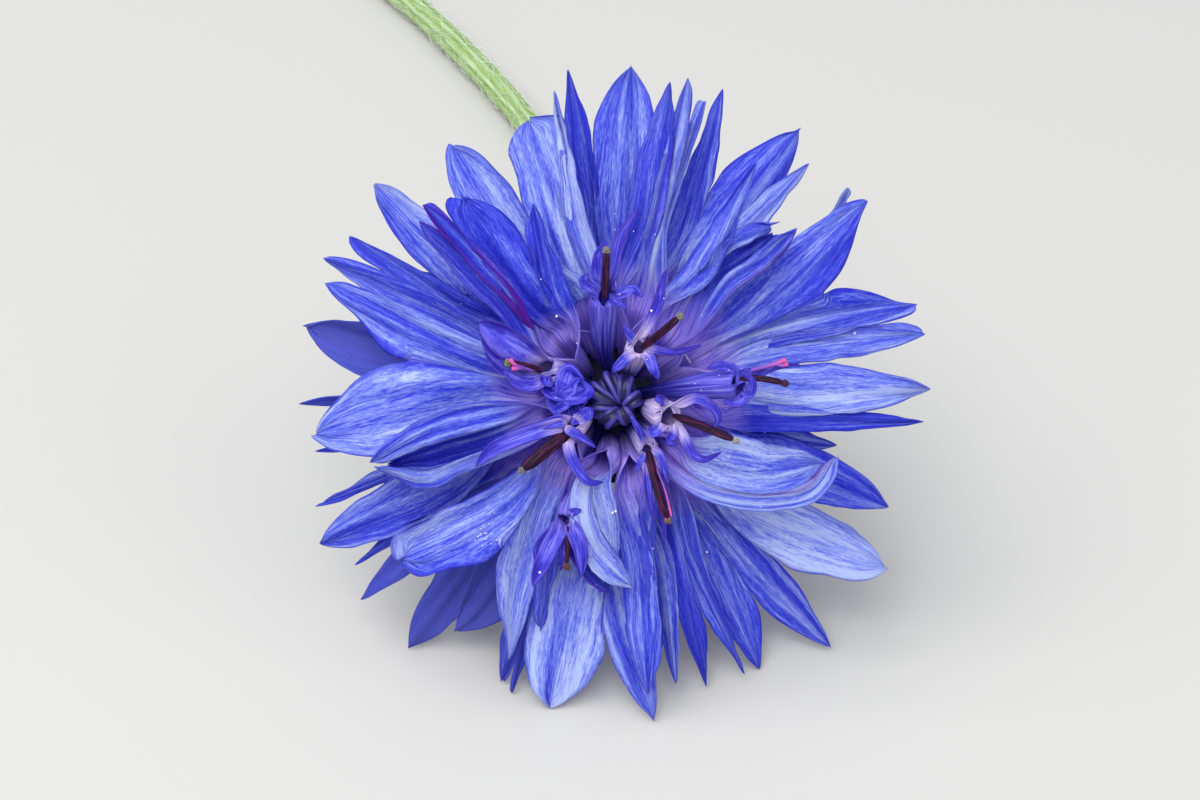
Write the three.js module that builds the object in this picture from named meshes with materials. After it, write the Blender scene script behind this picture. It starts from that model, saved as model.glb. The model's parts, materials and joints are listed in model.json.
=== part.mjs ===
// A cut cornflower of the double garden form, laid down on a surface. Millimetres, +Z up, +Y along the stem
// away from the face, origin on the surface under the middle of the whole flower.
import * as THREE from 'three';

// The head has a frame of its own: x to the right and y up across the face, z out along its axis.
const FACE_TILT_DEG = 35;
const HEAD_HEIGHT = 19.35;

// The receptacle is a barrel, the same above and below its middle.
const RECEPTACLE_CENTRE = -16.5;
const RECEPTACLE_HALF_LENGTH = 6.4;
const RECEPTACLE_HALF_PROFILE = [[4.5, 1.2], [4.3, 3.2], [3.7, 4.9], [2.4, 6]];
const RECEPTACLE_SIDES = 20;

// The stem, from under the head to its plain cut end.
const STEM_RADIUS = 1.15;
const STEM_RIB = 0.1;
const STEM_RIBS = 8;
const STEM_STEPS = 26;
const STEM_TOP_GAP = 0.3;
const STEM_TURN = [[22.6, 3.8], [27.5, 2]];
const STEM_ON_SURFACE = [
  [-0.3, 34], [-1.2, 46], [-3.8, 58], [-8, 70], [-13.3, 81], [-18.6, 90.5], [-24.2, 99],
];

// Petal tissue, a little thicker than life so that the solids hold together.
const PETAL = 0.24;
const LOBE_COLUMNS = 2;
const TUBE_ROWS = 2;
const FAN_ROWS = 5;
const TUBE_RADIUS = 0.4;
const THROAT_RADIUS = 0.72;
const FAN_OPENING = 3.2;
const LOBE_BASE = 0.55;
const LOBE_WIDEST_AT = 0.6;
const LOBE_END = 0.1;
const LOBE_CUP = 0.22;
const SLIT_HOLD_ROWS = 2.5;

// The whorls of ray florets, from the back: how far from the axis and how deep the root, the bend and the
// throat lie, and the depth of the crown of the arch that a floret makes on its way to its tips.
const WHORLS = {
  back: { root: [4, -10.4], bend: [4.2, -8.2], throat: [6.8, -6.4], crown: -4.6 },
  middle: { root: [3.3, -9.8], bend: [3.5, -6.8], throat: [5.6, -4], crown: -1.4 },
  front: { root: [2.6, -9.6], bend: [2.8, -5.6], throat: [4.6, -1.8], crown: 1.6 },
  inner: { root: [2.6, -9.5], bend: [2.7, -4.6], throat: [4.2, -0.6], crown: 2.4 },
};

// A lobe: the direction of its tip round the face in degrees, the tip's distance from the axis, the lobe's
// width, the depth of its tip and how far out the slit to the next lobe begins.
const lobe = (angle, reach, width, depth, split = 15) => ({ angle, reach, width, depth, split });

const RAY_FLORETS = [
  { whorl: 'middle', heading: 22, lobes: [
    lobe(12.1, 21.9, 2, -3.6, 19.2), lobe(17.5, 21.9, 2.4, -3.4, 16.5), lobe(38.2, 22.2, 4.8, -2.4)] },
  { whorl: 'front', heading: 50, lobes: [lobe(43.6, 16.4, 2.8, 0.6, 9), lobe(59, 18.9, 2.4, -0.2)] },
  { whorl: 'back', heading: 60, lobes: [
    lobe(50.5, 21.3, 2.2, -4.6, 15.5), lobe(55.5, 22.9, 4.4, -6, 16.5), lobe(70.7, 23, 2.8, -6)] },
  { whorl: 'middle', heading: 76, lobes: [
    lobe(72.9, 21.7, 0.8, -3.4, 19.8), lobe(77, 22.8, 1.6, -3.2, 17.6), lobe(80, 22.3, 2.9, -3)] },
  { whorl: 'back', heading: 92, lobes: [lobe(87, 23.4, 4.6, -6.4, 17.6), lobe(97.9, 23.3, 2.4, -6)] },
  { whorl: 'middle', heading: 108, lobes: [
    lobe(100.9, 21.7, 2, -2.6, 18), lobe(106.8, 20, 5.2, -3.4, 8.4), lobe(119, 11.4, 3, -0.2)] },
  { whorl: 'back', heading: 124, lobes: [lobe(122.4, 21.2, 4.2, -6.2, 14.5), lobe(130.5, 17.8, 2, -6.6)] },
  { whorl: 'front', heading: 134, lobes: [lobe(127, 17.4, 3.2, 0, 11), lobe(136, 18.4, 2.8, -0.4)] },
  { whorl: 'back', heading: 143, lobes: [lobe(138, 22.5, 4, -6.2, 14.5), lobe(147, 17, 2.2, -7)] },
  { whorl: 'middle', heading: 152, lobes: [
    lobe(148.2, 21.5, 1.9, -3.6, 18.6), lobe(154, 22.3, 2.3, -3.2)] },
  { whorl: 'front', heading: 170, lobes: [
    lobe(157.9, 21.2, 2.6, -1.4, 14.8), lobe(186.6, 20.6, 5.2, -1.2)] },
  { whorl: 'back', heading: 173, lobes: [lobe(166.7, 22.1, 4.2, -6.6, 14), lobe(180.6, 21.9, 1.9, -7)] },
  { whorl: 'back', heading: 193, lobes: [lobe(189.8, 21.1, 1.9, -6.6, 15), lobe(199.5, 22.1, 1.1, -6.2)] },
  { whorl: 'inner', heading: 194, lobes: [lobe(196, 17.3, 5, 0.2)] },
  { whorl: 'back', heading: 209, lobes: [
    lobe(206, 22.8, 4.4, -6.2, 16.5), lobe(212.5, 21.6, 1.5, -6.6, 15), lobe(218.2, 22.4, 2.2, -7)] },
  { whorl: 'back', heading: 224, lobes: [lobe(221.5, 16.8, 1.8, -8, 14), lobe(230.3, 22.5, 3.9, -8.8)] },
  { whorl: 'front', heading: 229, lobes: [
    lobe(217, 18, 4.2, -0.2, 12.4), lobe(247.9, 19.2, 2.8, -2.4, 15.6), lobe(252, 16.4, 1.3, -2.2)] },
  { whorl: 'back', heading: 245, lobes: [
    lobe(235.6, 19.6, 4, -5.8, 16.4), lobe(248.2, 21.1, 1.7, -5.4, 19), lobe(250.8, 21.6, 1.4, -4.8)] },
  { whorl: 'inner', heading: 264, lobes: [lobe(269.6, 13.3, 1.4, 0.9, 8), lobe(275, 12.6, 2.2, 1.3)] },
  { whorl: 'middle', heading: 256, lobes: [
    lobe(258.2, 21.7, 5.3, -3.6, 16.2), lobe(277.2, 22.1, 3, -2.3)] },
  { whorl: 'front', heading: 286, lobes: [lobe(276.6, 20.2, 2.8, -1, 13.5), lobe(281, 17.2, 1.3, -1.4)] },
  { whorl: 'middle', heading: 298, lobes: [
    lobe(282.4, 20, 2.6, -3.4, 14), lobe(287.9, 20.9, 1.8, -5, 16), lobe(295.5, 21, 2, -5.6)] },
  { whorl: 'back', heading: 311, lobes: [
    lobe(298.4, 21.3, 2.9, -7.2, 16.5), lobe(311.3, 23.1, 3.1, -8.6, 16), lobe(328.6, 22.5, 4.8, -5.8)] },
  { whorl: 'inner', heading: 318, lobes: [lobe(342.5, 15.9, 5, 1.6)] },
  { whorl: 'back', heading: 342, lobes: [lobe(338.7, 20.7, 3.7, -6.4, 14), lobe(348.5, 16, 1.9, -6.6)] },
  { whorl: 'middle', heading: 357, lobes: [lobe(356, 21.4, 2.4, -3.4, 15.6), lobe(362, 21.9, 4, -3)] },
];

// The inner florets: from which side of the middle each rises, where its mouth lies on the face and how far
// forward, how long its lobes are and where the tip of its anther tube lies; the one without is rolled shut.
const DISC_FLORETS = [
  { from: 97, mouth: [-0.9, 7, 2.6], lobe: 2.3, anther: [-0.6, 9.8, 4.4] },
  { from: 56, mouth: [1.8, 3.4, 1.6], lobe: 2, anther: [4.6, 5.4, 4.2] },
  { from: 16, mouth: [8, 1.2, 3.6], lobe: 2.2, anther: [11.4, 2, 4.4] },
  { from: 340, mouth: [3.9, -1.1, 2.4], lobe: 2, anther: [8, -2.6, 5] },
  { from: 296, mouth: [2.2, -3.7, 1.2], lobe: 1.8, anther: [3.6, -8, 2.6] },
  { from: 214, mouth: [-3.1, -2, 2.4], lobe: 2.4, anther: [-5.8, -4.5, 4.6] },
  { from: 178, mouth: [-3.6, 0.6, 1], lobe: 0.7 },
  { from: 148, mouth: [-5.4, 3.8, 3], lobe: 2.4, anther: [-7.4, 4.6, 4.2] },
  { from: 245, mouth: [-2.8, -5.6, 2.2], lobe: 1.1, anther: [-3.9, -10, 4] },
];
const DISC_ROOT = [1.7, -9.5];
const DISC_LEAN = 0.12;
const DISC_BEND_DROP = 1.4;
const DISC_TUBE_RADIUS = 0.3;
const DISC_MOUTH_RADIUS = 0.72;
const DISC_WALL = 0.18;
const DISC_LOBE_WIDTH = 0.7;
const DISC_LOBES = 5;
const DISC_LOBE_ROWS = 3;
const DISC_OPENING = 0.5;
const DISC_SHOULDER_RISE = 0.7;
const DISC_TIP_RISE = 0.9;
const ANTHER_RADIUS = 0.36;
const ANTHER_INSIDE = 0.5;
const ANTHER_RISE = 1.2;
const ANTHER_SIDES = 8;
const ANTHER_STEPS = 5;

// Buds still closed in the middle of the face: clubs that lean a little outwards.
const BUD_COUNT = 7;
const BUD_RING = 0.86;
const BUD_LEAN_DEG = 3;
const BUD_BASE = -9.7;
const BUD_SIDES = 8;
const BUD_PROFILE = [[0, 0], [0.34, 0.1], [0.34, 4], [0.52, 7.2], [0.46, 8.3], [0.18, 9], [0, 9.1]];

// The bracts round the receptacle, in rows from the stem to the mouth: each row a band, one point a bract.
const BRACT = 0.3;
const INVOLUCRE = [[-23, 2.1], [-21.5, 3.6], [-18.5, 4.7], [-15, 5], [-11, 4.75], [-9, 4.7]];
const BRACT_ROWS = [
  { from: -22.6, shoulder: -20.6, tip: -18.6, proud: 1.26 },
  { from: -21, shoulder: -17.8, tip: -15.6, proud: 0.84 },
  { from: -18.6, shoulder: -15, tip: -12.8, proud: 0.44 },
  { from: -16, shoulder: -12.6, tip: -10.2, proud: 0.04 },
];
const BRACTS_IN_ROW = 9;
const BRACT_NOTCH = 0.4;

const V = (x, y, z) => new THREE.Vector3(x, y, z);
const rad = THREE.MathUtils.degToRad;
const smooth = (from, to, x) => THREE.MathUtils.smoothstep(x, from, to);
const polar = (angle, reach, depth) => V(reach * Math.cos(rad(angle)), reach * Math.sin(rad(angle)), depth);

const LOOKS = {
  petal: { color: 0x4a55d8, roughness: 0.6, metalness: 0 },
  disc: { color: 0x5a3fc0, roughness: 0.6, metalness: 0 },
  anther: { color: 0x2a0a2e, roughness: 0.7, metalness: 0 },
  bud: { color: 0x2b1f6e, roughness: 0.6, metalness: 0 },
  green: { color: 0x7f9a5c, roughness: 0.75, metalness: 0 },
  bract: { color: 0x5d7440, roughness: 0.7, metalness: 0 },
};

function piece(name, geometry, look) {
  const mesh = new THREE.Mesh(geometry, new THREE.MeshStandardMaterial(LOOKS[look]));
  mesh.name = name;
  return mesh;
}

// A sheet of tissue with its two faces half a thickness from it and a rim along each free edge.
function solidSheet(points, faces, thickness) {
  const normals = points.map(() => V(0, 0, 0));
  const edges = new Set();
  for (const [a, b, c] of faces) {
    const normal = points[b].clone().sub(points[a]).cross(points[c].clone().sub(points[a]));
    for (const corner of [a, b, c]) {
      normals[corner].add(normal);
    }
    edges.add(`${a},${b}`).add(`${b},${c}`).add(`${c},${a}`);
  }
  const count = points.length;
  const positions = [];
  for (const side of [0.5, -0.5]) {
    points.forEach((point, i) => {
      const offset = normals[i].clone().setLength(side * thickness);
      positions.push(...offset.add(point).toArray());
    });
  }
  const index = [];
  for (const [a, b, c] of faces) {
    index.push(a, b, c, count + c, count + b, count + a);
  }
  for (const edge of edges) {
    const [a, b] = edge.split(',').map(Number);
    if (!edges.has(`${b},${a}`)) {
      index.push(b, a, count + a, b, count + a, count + b);
    }
  }
  const geometry = new THREE.BufferGeometry();
  geometry.setAttribute('position', new THREE.Float32BufferAttribute(positions, 3));
  geometry.setIndex(index);
  geometry.computeVertexNormals();
  return geometry;
}

// Joins the cells of lobes into one sheet: rows run outwards, two lobes share an edge up to their slit, and
// the last lobe closes on the first up to the row where the tube ends.
function lobesToSheet(lobes, slitRows, closedRows) {
  const points = [];
  const ids = [];
  lobes.forEach((rows, i) => {
    ids.push(rows.map((cells, row) => {
      const line = [];
      cells.forEach((point, column) => {
        if (i > 0 && column === 0 && row <= slitRows[i - 1]) {
          line.push(ids[i - 1][row].at(-1));
        } else if (i === lobes.length - 1 && column === cells.length - 1 && row <= closedRows) {
          line.push((ids[0] ? ids[0][row] : line)[0]);
        } else {
          points.push(point);
          line.push(points.length - 1);
        }
      });
      return line;
    }));
  });
  const faces = [];
  for (const grid of ids) {
    for (let row = 0; row + 1 < grid.length; row += 1) {
      for (let column = 0; column + 1 < grid[row].length; column += 1) {
        const [a, b] = [grid[row][column], grid[row][column + 1]];
        const [c, d] = [grid[row + 1][column + 1], grid[row + 1][column]];
        faces.push([a, b, c], [a, c, d]);
      }
    }
  }
  return [points, faces];
}

// How wide a lobe is from its base to its point, as a share of its full width.
function lobeProfile(along) {
  if (along < LOBE_WIDEST_AT) {
    return LOBE_BASE + (1 - LOBE_BASE) * Math.sin((along / LOBE_WIDEST_AT) * (Math.PI / 2));
  }
  const onwards = (along - LOBE_WIDEST_AT) / (1 - LOBE_WIDEST_AT);
  return LOBE_END + (1 - LOBE_END) * (1 - onwards ** 1.7);
}

// The direction across a tube that leans away from the axis of the head, anticlockwise round the face.
function acrossTube(tube) {
  return V(0, 0, 1).cross(tube.getPoint(1).sub(tube.getPoint(0))).normalize();
}

// A corolla is a tube that opens at its throat into lobes. The cells of each lobe start on the ring of the
// tube and pass over to the lobe's own path, which starts in the middle of the throat.
function corolla({ tube, tubeRadius, throatRadius, fanRows, opening, facing, lobes, slitRows, wall }) {
  const rows = TUBE_ROWS + fanRows;
  const across = acrossTube(tube);
  const sweep = (2 * Math.PI) / lobes.length;
  const columns = lobes.length === 1 ? 2 * LOBE_COLUMNS : LOBE_COLUMNS;
  const grids = lobes.map(({ path, width }, i) => Array.from({ length: rows + 1 }, (_, row) => {
    const onTube = Math.min(row / TUBE_ROWS, 1);
    const onFan = Math.max(row - TUBE_ROWS, 0) / fanRows;
    const heart = tube.getTangent(onTube);
    const up = heart.clone().cross(across).normalize();
    const axis = tube.getPoint(onTube).addScaledVector(heart, 2 * opening * onFan);
    const radius = THREE.MathUtils.lerp(tubeRadius, throatRadius, onTube) + opening * onFan;
    const along = path.getTangent(onFan);
    const side = facing.clone().cross(along).normalize();
    const rise = along.clone().cross(side).normalize();
    const half = 0.5 * width * lobeProfile(onFan);
    return Array.from({ length: columns + 1 }, (__, column) => {
      const share = column / columns;
      const psi = sweep * (i + share - lobes.length / 2);
      const x = 2 * share - 1;
      const onRing = axis.clone()
        .addScaledVector(up, -radius * Math.cos(psi))
        .addScaledVector(across, radius * Math.sin(psi));
      const onLobe = path.getPoint(onFan)
        .addScaledVector(side, half * x)
        .addScaledVector(rise, LOBE_CUP * half * x * x);
      return onRing.lerp(onLobe, smooth(0, 0.5, onFan));
    });
  }));
  slitRows.forEach((slitRow, i) => {
    for (let row = 0; row <= rows; row += 1) {
      const right = grids[i][row].at(-1);
      const left = grids[i + 1][row][0];
      const seam = right.clone().lerp(left, 0.5);
      const hold = 1 - smooth(slitRow, slitRow + SLIT_HOLD_ROWS, row);
      right.lerp(seam, hold);
      left.lerp(seam, hold);
    }
  });
  return solidSheet(...lobesToSheet(grids, slitRows, TUBE_ROWS), wall);
}

// A ray floret, whose lobes arch outwards over the crown of its whorl, each to its own tip.
function rayFloret({ whorl, heading, lobes }) {
  const { root, bend, throat, crown } = WHORLS[whorl];
  const tube = new THREE.QuadraticBezierCurve3(
    polar(heading, ...root), polar(heading, ...bend), polar(heading, ...throat));
  const mouth = tube.getPoint(1);
  return corolla({
    tube,
    tubeRadius: TUBE_RADIUS,
    throatRadius: THROAT_RADIUS,
    fanRows: FAN_ROWS,
    opening: FAN_OPENING,
    facing: V(0, 0, 1),
    lobes: lobes.map(({ angle, reach, width, depth }) => {
      const shoulder = polar(THREE.MathUtils.lerp(heading, angle, 0.6), 0.55 * reach, crown);
      return { path: new THREE.QuadraticBezierCurve3(mouth, shoulder, polar(angle, reach, depth)), width };
    }),
    slitRows: lobes.slice(0, -1).map(({ reach, split }) => {
      const start = THREE.MathUtils.clamp((split - throat[0]) / (reach - throat[0]), 0.2, 0.9);
      return TUBE_ROWS + Math.round(FAN_ROWS * start);
    }),
    wall: PETAL,
  });
}

// The path of an inner floret's tube, from the receptacle to its mouth.
function discTube({ from, mouth }) {
  const [x, y, z] = mouth;
  const bend = polar(from, DISC_ROOT[0] + DISC_LEAN * Math.hypot(x, y), z - DISC_BEND_DROP);
  return new THREE.QuadraticBezierCurve3(polar(from, ...DISC_ROOT), bend, V(x, y, z));
}

// An inner floret: a slender tube with a star of five narrow lobes round its mouth.
function discFloret(floret) {
  const tube = discTube(floret);
  const mouth = tube.getPoint(1);
  const heart = tube.getTangent(1);
  const across = acrossTube(tube);
  const up = heart.clone().cross(across).normalize();
  const lobes = Array.from({ length: DISC_LOBES }, (_, i) => {
    const psi = 2 * Math.PI * ((i + 0.5) / DISC_LOBES - 0.5);
    const outwards = up.clone().multiplyScalar(-Math.cos(psi)).addScaledVector(across, Math.sin(psi));
    const shoulder = mouth.clone()
      .addScaledVector(heart, DISC_SHOULDER_RISE)
      .addScaledVector(outwards, 0.5 * floret.lobe);
    const tip = mouth.clone()
      .addScaledVector(heart, DISC_TIP_RISE)
      .addScaledVector(outwards, DISC_MOUTH_RADIUS + 0.6 * floret.lobe);
    return { path: new THREE.QuadraticBezierCurve3(mouth, shoulder, tip), width: DISC_LOBE_WIDTH };
  });
  return corolla({
    tube,
    tubeRadius: DISC_TUBE_RADIUS,
    throatRadius: DISC_MOUTH_RADIUS,
    fanRows: DISC_LOBE_ROWS,
    opening: DISC_OPENING,
    facing: heart,
    lobes,
    slitRows: Array(DISC_LOBES - 1).fill(TUBE_ROWS),
    wall: DISC_WALL,
  });
}

// A regular outline of so many sides, with every second corner drawn in where it is ribbed.
function section(radius, sides, rib = 0) {
  return new THREE.Shape(Array.from({ length: sides }, (_, i) => {
    const turn = (2 * Math.PI * i) / sides;
    const r = radius - (i % 2) * rib;
    return new THREE.Vector2(r * Math.cos(turn), r * Math.sin(turn));
  }));
}

// The anther tube, a dark rod that starts inside the mouth of its floret and stands out of it.
function antherTube(floret) {
  const tube = discTube(floret);
  const mouth = tube.getPoint(1);
  const heart = tube.getTangent(1);
  const start = mouth.clone().addScaledVector(heart, -ANTHER_INSIDE);
  const bend = mouth.clone().addScaledVector(heart, ANTHER_RISE);
  const path = new THREE.QuadraticBezierCurve3(start, bend, V(...floret.anther));
  return new THREE.ExtrudeGeometry(section(ANTHER_RADIUS, ANTHER_SIDES), {
    extrudePath: path,
    steps: ANTHER_STEPS,
  });
}

// A closed bud, standing at its place in the ring.
function bud() {
  const profile = BUD_PROFILE.map(([r, z]) => new THREE.Vector2(r, z));
  return new THREE.LatheGeometry(profile, BUD_SIDES)
    .rotateX(Math.PI / 2)
    .rotateY(rad(BUD_LEAN_DEG))
    .translate(BUD_RING, 0, BUD_BASE);
}

function receptacle() {
  const upper = RECEPTACLE_HALF_PROFILE.map(([r, z]) => new THREE.Vector2(r, z));
  const lower = RECEPTACLE_HALF_PROFILE.map(([r, z]) => new THREE.Vector2(r, -z)).reverse();
  const bottom = new THREE.Vector2(0, -RECEPTACLE_HALF_LENGTH);
  const top = new THREE.Vector2(0, RECEPTACLE_HALF_LENGTH);
  return new THREE.LatheGeometry([bottom, ...lower, ...upper, top], RECEPTACLE_SIDES).rotateX(Math.PI / 2);
}

// The radius of the involucre at a depth, between the given stations.
function involucreRadius(depth) {
  const next = Math.max(1, INVOLUCRE.findIndex(([z]) => z >= depth));
  const [[z0, r0], [z1, r1]] = [INVOLUCRE[next - 1], INVOLUCRE[next]];
  return THREE.MathUtils.lerp(r0, r1, (depth - z0) / (z1 - z0));
}

// One row of bracts: a band that closes round the receptacle, with a point in the middle of each bract. The
// points of one row stand between those of the next.
function bractRow({ from, shoulder, tip, proud }, row) {
  const columns = 2 * BRACTS_IN_ROW;
  const heights = [from, (from + shoulder) / 2, shoulder];
  const points = [];
  for (let column = 0; column < columns; column += 1) {
    const turn = (360 * column) / columns;
    const top = (column + row) % 2 ? tip : shoulder + BRACT_NOTCH;
    for (const depth of [...heights, top]) {
      points.push(polar(turn, involucreRadius(depth) + proud, depth));
    }
  }
  const faces = [];
  const stations = heights.length + 1;
  for (let column = 0; column < columns; column += 1) {
    const next = (column + 1) % columns;
    for (let level = 0; level + 1 < stations; level += 1) {
      const [a, b] = [column * stations + level, next * stations + level];
      faces.push([a, b, b + 1], [a, b + 1, a + 1]);
    }
  }
  return solidSheet(points, faces, BRACT);
}

// The stem leaves the receptacle along the axis of the head, turns down to the surface and lies along it.
function stem() {
  const tilt = rad(FACE_TILT_DEG);
  const base = RECEPTACLE_CENTRE - RECEPTACLE_HALF_LENGTH - STEM_TOP_GAP;
  const top = V(0, -base * Math.cos(tilt), HEAD_HEIGHT + base * Math.sin(tilt));
  const path = new THREE.CatmullRomCurve3([
    top,
    ...STEM_TURN.map(([y, z]) => V(0, y, z)),
    ...STEM_ON_SURFACE.map(([x, y]) => V(x, y, STEM_RADIUS)),
  ], false, 'centripetal');
  const outline = section(STEM_RADIUS, 2 * STEM_RIBS, STEM_RIB);
  return new THREE.ExtrudeGeometry(outline, { extrudePath: path, steps: STEM_STEPS });
}

const flower = new THREE.Group();
const head = new THREE.Group();
head.rotation.x = rad(90 - FACE_TILT_DEG);
head.position.z = HEAD_HEIGHT;
flower.add(head);

const numbered = (name, i) => `${name}_${String(i + 1).padStart(2, '0')}`;

flower.add(piece('stem', stem(), 'green'));

const core = piece('receptacle', receptacle(), 'green');
core.position.z = RECEPTACLE_CENTRE;
head.add(core);

BRACT_ROWS.forEach((row, i) => {
  head.add(piece(numbered('bract_row', i), bractRow(row, i), 'bract'));
});

RAY_FLORETS.forEach((floret, i) => {
  head.add(piece(numbered('ray_floret', i), rayFloret(floret), 'petal'));
});

DISC_FLORETS.forEach((floret, i) => {
  head.add(piece(numbered('disc_floret', i), discFloret(floret), 'disc'));
  if (floret.anther) {
    head.add(piece(numbered('anther_tube', i), antherTube(floret), 'anther'));
  }
});

for (let i = 0; i < BUD_COUNT; i += 1) {
  const closed = piece(numbered('central_bud', i), bud(), 'bud');
  closed.rotation.z = (2 * Math.PI * i) / BUD_COUNT;
  head.add(closed);
}

// The whole flower is set down with its lowest point on the surface and its middle over the origin.
const bounds = new THREE.Box3().setFromObject(flower, true);
const middle = bounds.getCenter(V(0, 0, 0));
flower.position.set(-middle.x, -middle.y, -bounds.min.z);

export default flower;
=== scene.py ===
import json
import math
import random

import bmesh
import bpy
from mathutils import Matrix, Vector, bvhtree, noise

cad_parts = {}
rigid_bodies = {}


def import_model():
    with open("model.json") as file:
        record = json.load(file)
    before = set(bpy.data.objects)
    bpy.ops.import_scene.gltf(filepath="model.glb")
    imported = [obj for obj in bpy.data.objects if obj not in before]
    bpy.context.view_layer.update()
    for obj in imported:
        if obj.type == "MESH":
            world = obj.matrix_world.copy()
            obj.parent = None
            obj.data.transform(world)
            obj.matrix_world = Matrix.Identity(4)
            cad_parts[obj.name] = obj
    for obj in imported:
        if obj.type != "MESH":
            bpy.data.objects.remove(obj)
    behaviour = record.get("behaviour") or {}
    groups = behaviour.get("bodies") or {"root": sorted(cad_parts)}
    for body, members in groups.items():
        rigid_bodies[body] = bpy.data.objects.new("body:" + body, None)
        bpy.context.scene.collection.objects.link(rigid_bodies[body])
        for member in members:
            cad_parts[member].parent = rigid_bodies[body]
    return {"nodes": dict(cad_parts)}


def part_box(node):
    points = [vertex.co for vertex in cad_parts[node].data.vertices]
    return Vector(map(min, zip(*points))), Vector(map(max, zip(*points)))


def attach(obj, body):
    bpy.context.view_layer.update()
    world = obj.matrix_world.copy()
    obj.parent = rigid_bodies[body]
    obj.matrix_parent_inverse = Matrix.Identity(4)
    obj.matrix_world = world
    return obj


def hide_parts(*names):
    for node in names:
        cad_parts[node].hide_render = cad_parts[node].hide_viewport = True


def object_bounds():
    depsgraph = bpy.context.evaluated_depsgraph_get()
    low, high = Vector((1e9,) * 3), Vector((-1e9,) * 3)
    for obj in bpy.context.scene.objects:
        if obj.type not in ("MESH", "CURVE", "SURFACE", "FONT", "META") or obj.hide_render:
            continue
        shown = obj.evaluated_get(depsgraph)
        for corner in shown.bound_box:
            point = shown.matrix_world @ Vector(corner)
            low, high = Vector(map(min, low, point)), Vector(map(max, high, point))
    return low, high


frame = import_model()
cad_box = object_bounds()

# Receptacle: the solid green base inside the head that every floret stands on. It is grown tissue, smooth and
# matt, and stays as the frame has it, since the florets and bracts hide all but a sliver. It also gives the
# head its own frame: x to the right and y up across the face, z out along the axis, in millimetres.
MM = 0.001
FACE_TILT = math.radians(35)
RECEPTACLE_DEPTH = 16.5
RECEPTACLE_HALF_LENGTH = 6.4
# Painted shade on the top of the receptacle: how far below its top, in millimetres, it fades out and where it
# is full.
STAIN = (6, 2)

low, high = (Vector(corner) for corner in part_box("receptacle"))
HEAD_AXIS = Vector((0, -math.cos(FACE_TILT), math.sin(FACE_TILT)))
HEAD_CENTRE = (low + high) / 2 + HEAD_AXIS * RECEPTACLE_DEPTH * MM
HEAD_TURN = Matrix.Rotation(math.pi / 2 - FACE_TILT, 4, "X")
HEAD = Matrix.Translation(HEAD_CENTRE) @ HEAD_TURN @ Matrix.Scale(MM, 4)


def paint(code):
    """An sRGB hex colour as linear red, green, blue and alpha."""
    parts = [int(code[i:i + 2], 16) / 255 for i in (1, 3, 5)]
    return [c / 12.92 if c <= 0.04045 else ((c + 0.055) / 1.055) ** 2.4 for c in parts] + [1.0]


def add(tree, kind, inputs=(), stops=(), **settings):
    """Adds a shader node with its settings and the stops of its ramp. Its inputs, by name or in their order,
    take values, hex colours, outputs of other nodes, or nodes for their first output."""
    made = tree.nodes.new("ShaderNode" + kind)
    for name, value in settings.items():
        setattr(made, name, value)
    for name, value in inputs.items() if isinstance(inputs, dict) else enumerate(inputs):
        if isinstance(value, bpy.types.Node):
            value = value.outputs[0]
        if isinstance(value, bpy.types.NodeSocket):
            tree.links.new(value, made.inputs[name])
        else:
            made.inputs[name].default_value = paint(value) if isinstance(value, str) else value
    if stops:
        elements = made.color_ramp.elements
        for element, (position, code) in zip(elements, (stops[0], stops[-1])):
            element.position, element.color = position, paint(code)
        for position, code in stops[1:-1]:
            elements.new(position).color = paint(code)
    return made


def new_material(name):
    """An empty node material and its tree."""
    material = bpy.data.materials.new(name)
    material.use_nodes = True
    material.node_tree.nodes.clear()
    return material, material.node_tree


def cover(tree, colour, roughness, shine=0.5, bumps=None, height=0, through=0):
    """Ends a material in a surface with bumps of a height in millimetres, through which a share of the light
    passes."""
    looks = {"Base Color": colour, "Roughness": roughness, "Specular IOR Level": shine}
    if bumps:
        looks["Normal"] = add(tree, "Bump", {"Height": bumps, "Distance": height * MM})
    surface = add(tree, "BsdfPrincipled", looks)
    if through:
        passing = add(tree, "BsdfTranslucent", {"Color": colour})
        surface = add(tree, "MixShader", [through, surface, passing])
    add(tree, "OutputMaterial", {"Surface": surface})


def finish_piece(name, bm, placing, material, slot, replaced=()):
    """Turns a bmesh into a piece of the flower with its place in its mesh."""
    bmesh.ops.transform(bm, matrix=placing, verts=bm.verts)
    mesh = bpy.data.meshes.new(name)
    bm.to_mesh(mesh)
    bm.free()
    mesh.materials.append(material)
    mesh.shade_smooth()
    piece = bpy.data.objects.new(name, mesh)
    bpy.context.scene.collection.objects.link(piece)
    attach(piece, "root")
    if replaced:
        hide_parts(*replaced)
    return piece


def finish_fine(kind, number, bm, material, slot):
    """A finer piece of the head, which takes the place of the CAD node of its kind with the same number."""
    return finish_piece(f"{kind}_fine_{number:02d}", bm, HEAD, material, slot, [f"{kind}_{number:02d}"])


def smooth_step(start, end, x):
    share = min(max((x - start) / (end - start), 0), 1)
    return share * share * (3 - 2 * share)


def lerp(a, b, share):
    return a + (b - a) * share


def polar(angle, reach, depth):
    turn = math.radians(angle)
    return Vector((reach * math.cos(turn), reach * math.sin(turn), depth))
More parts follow.
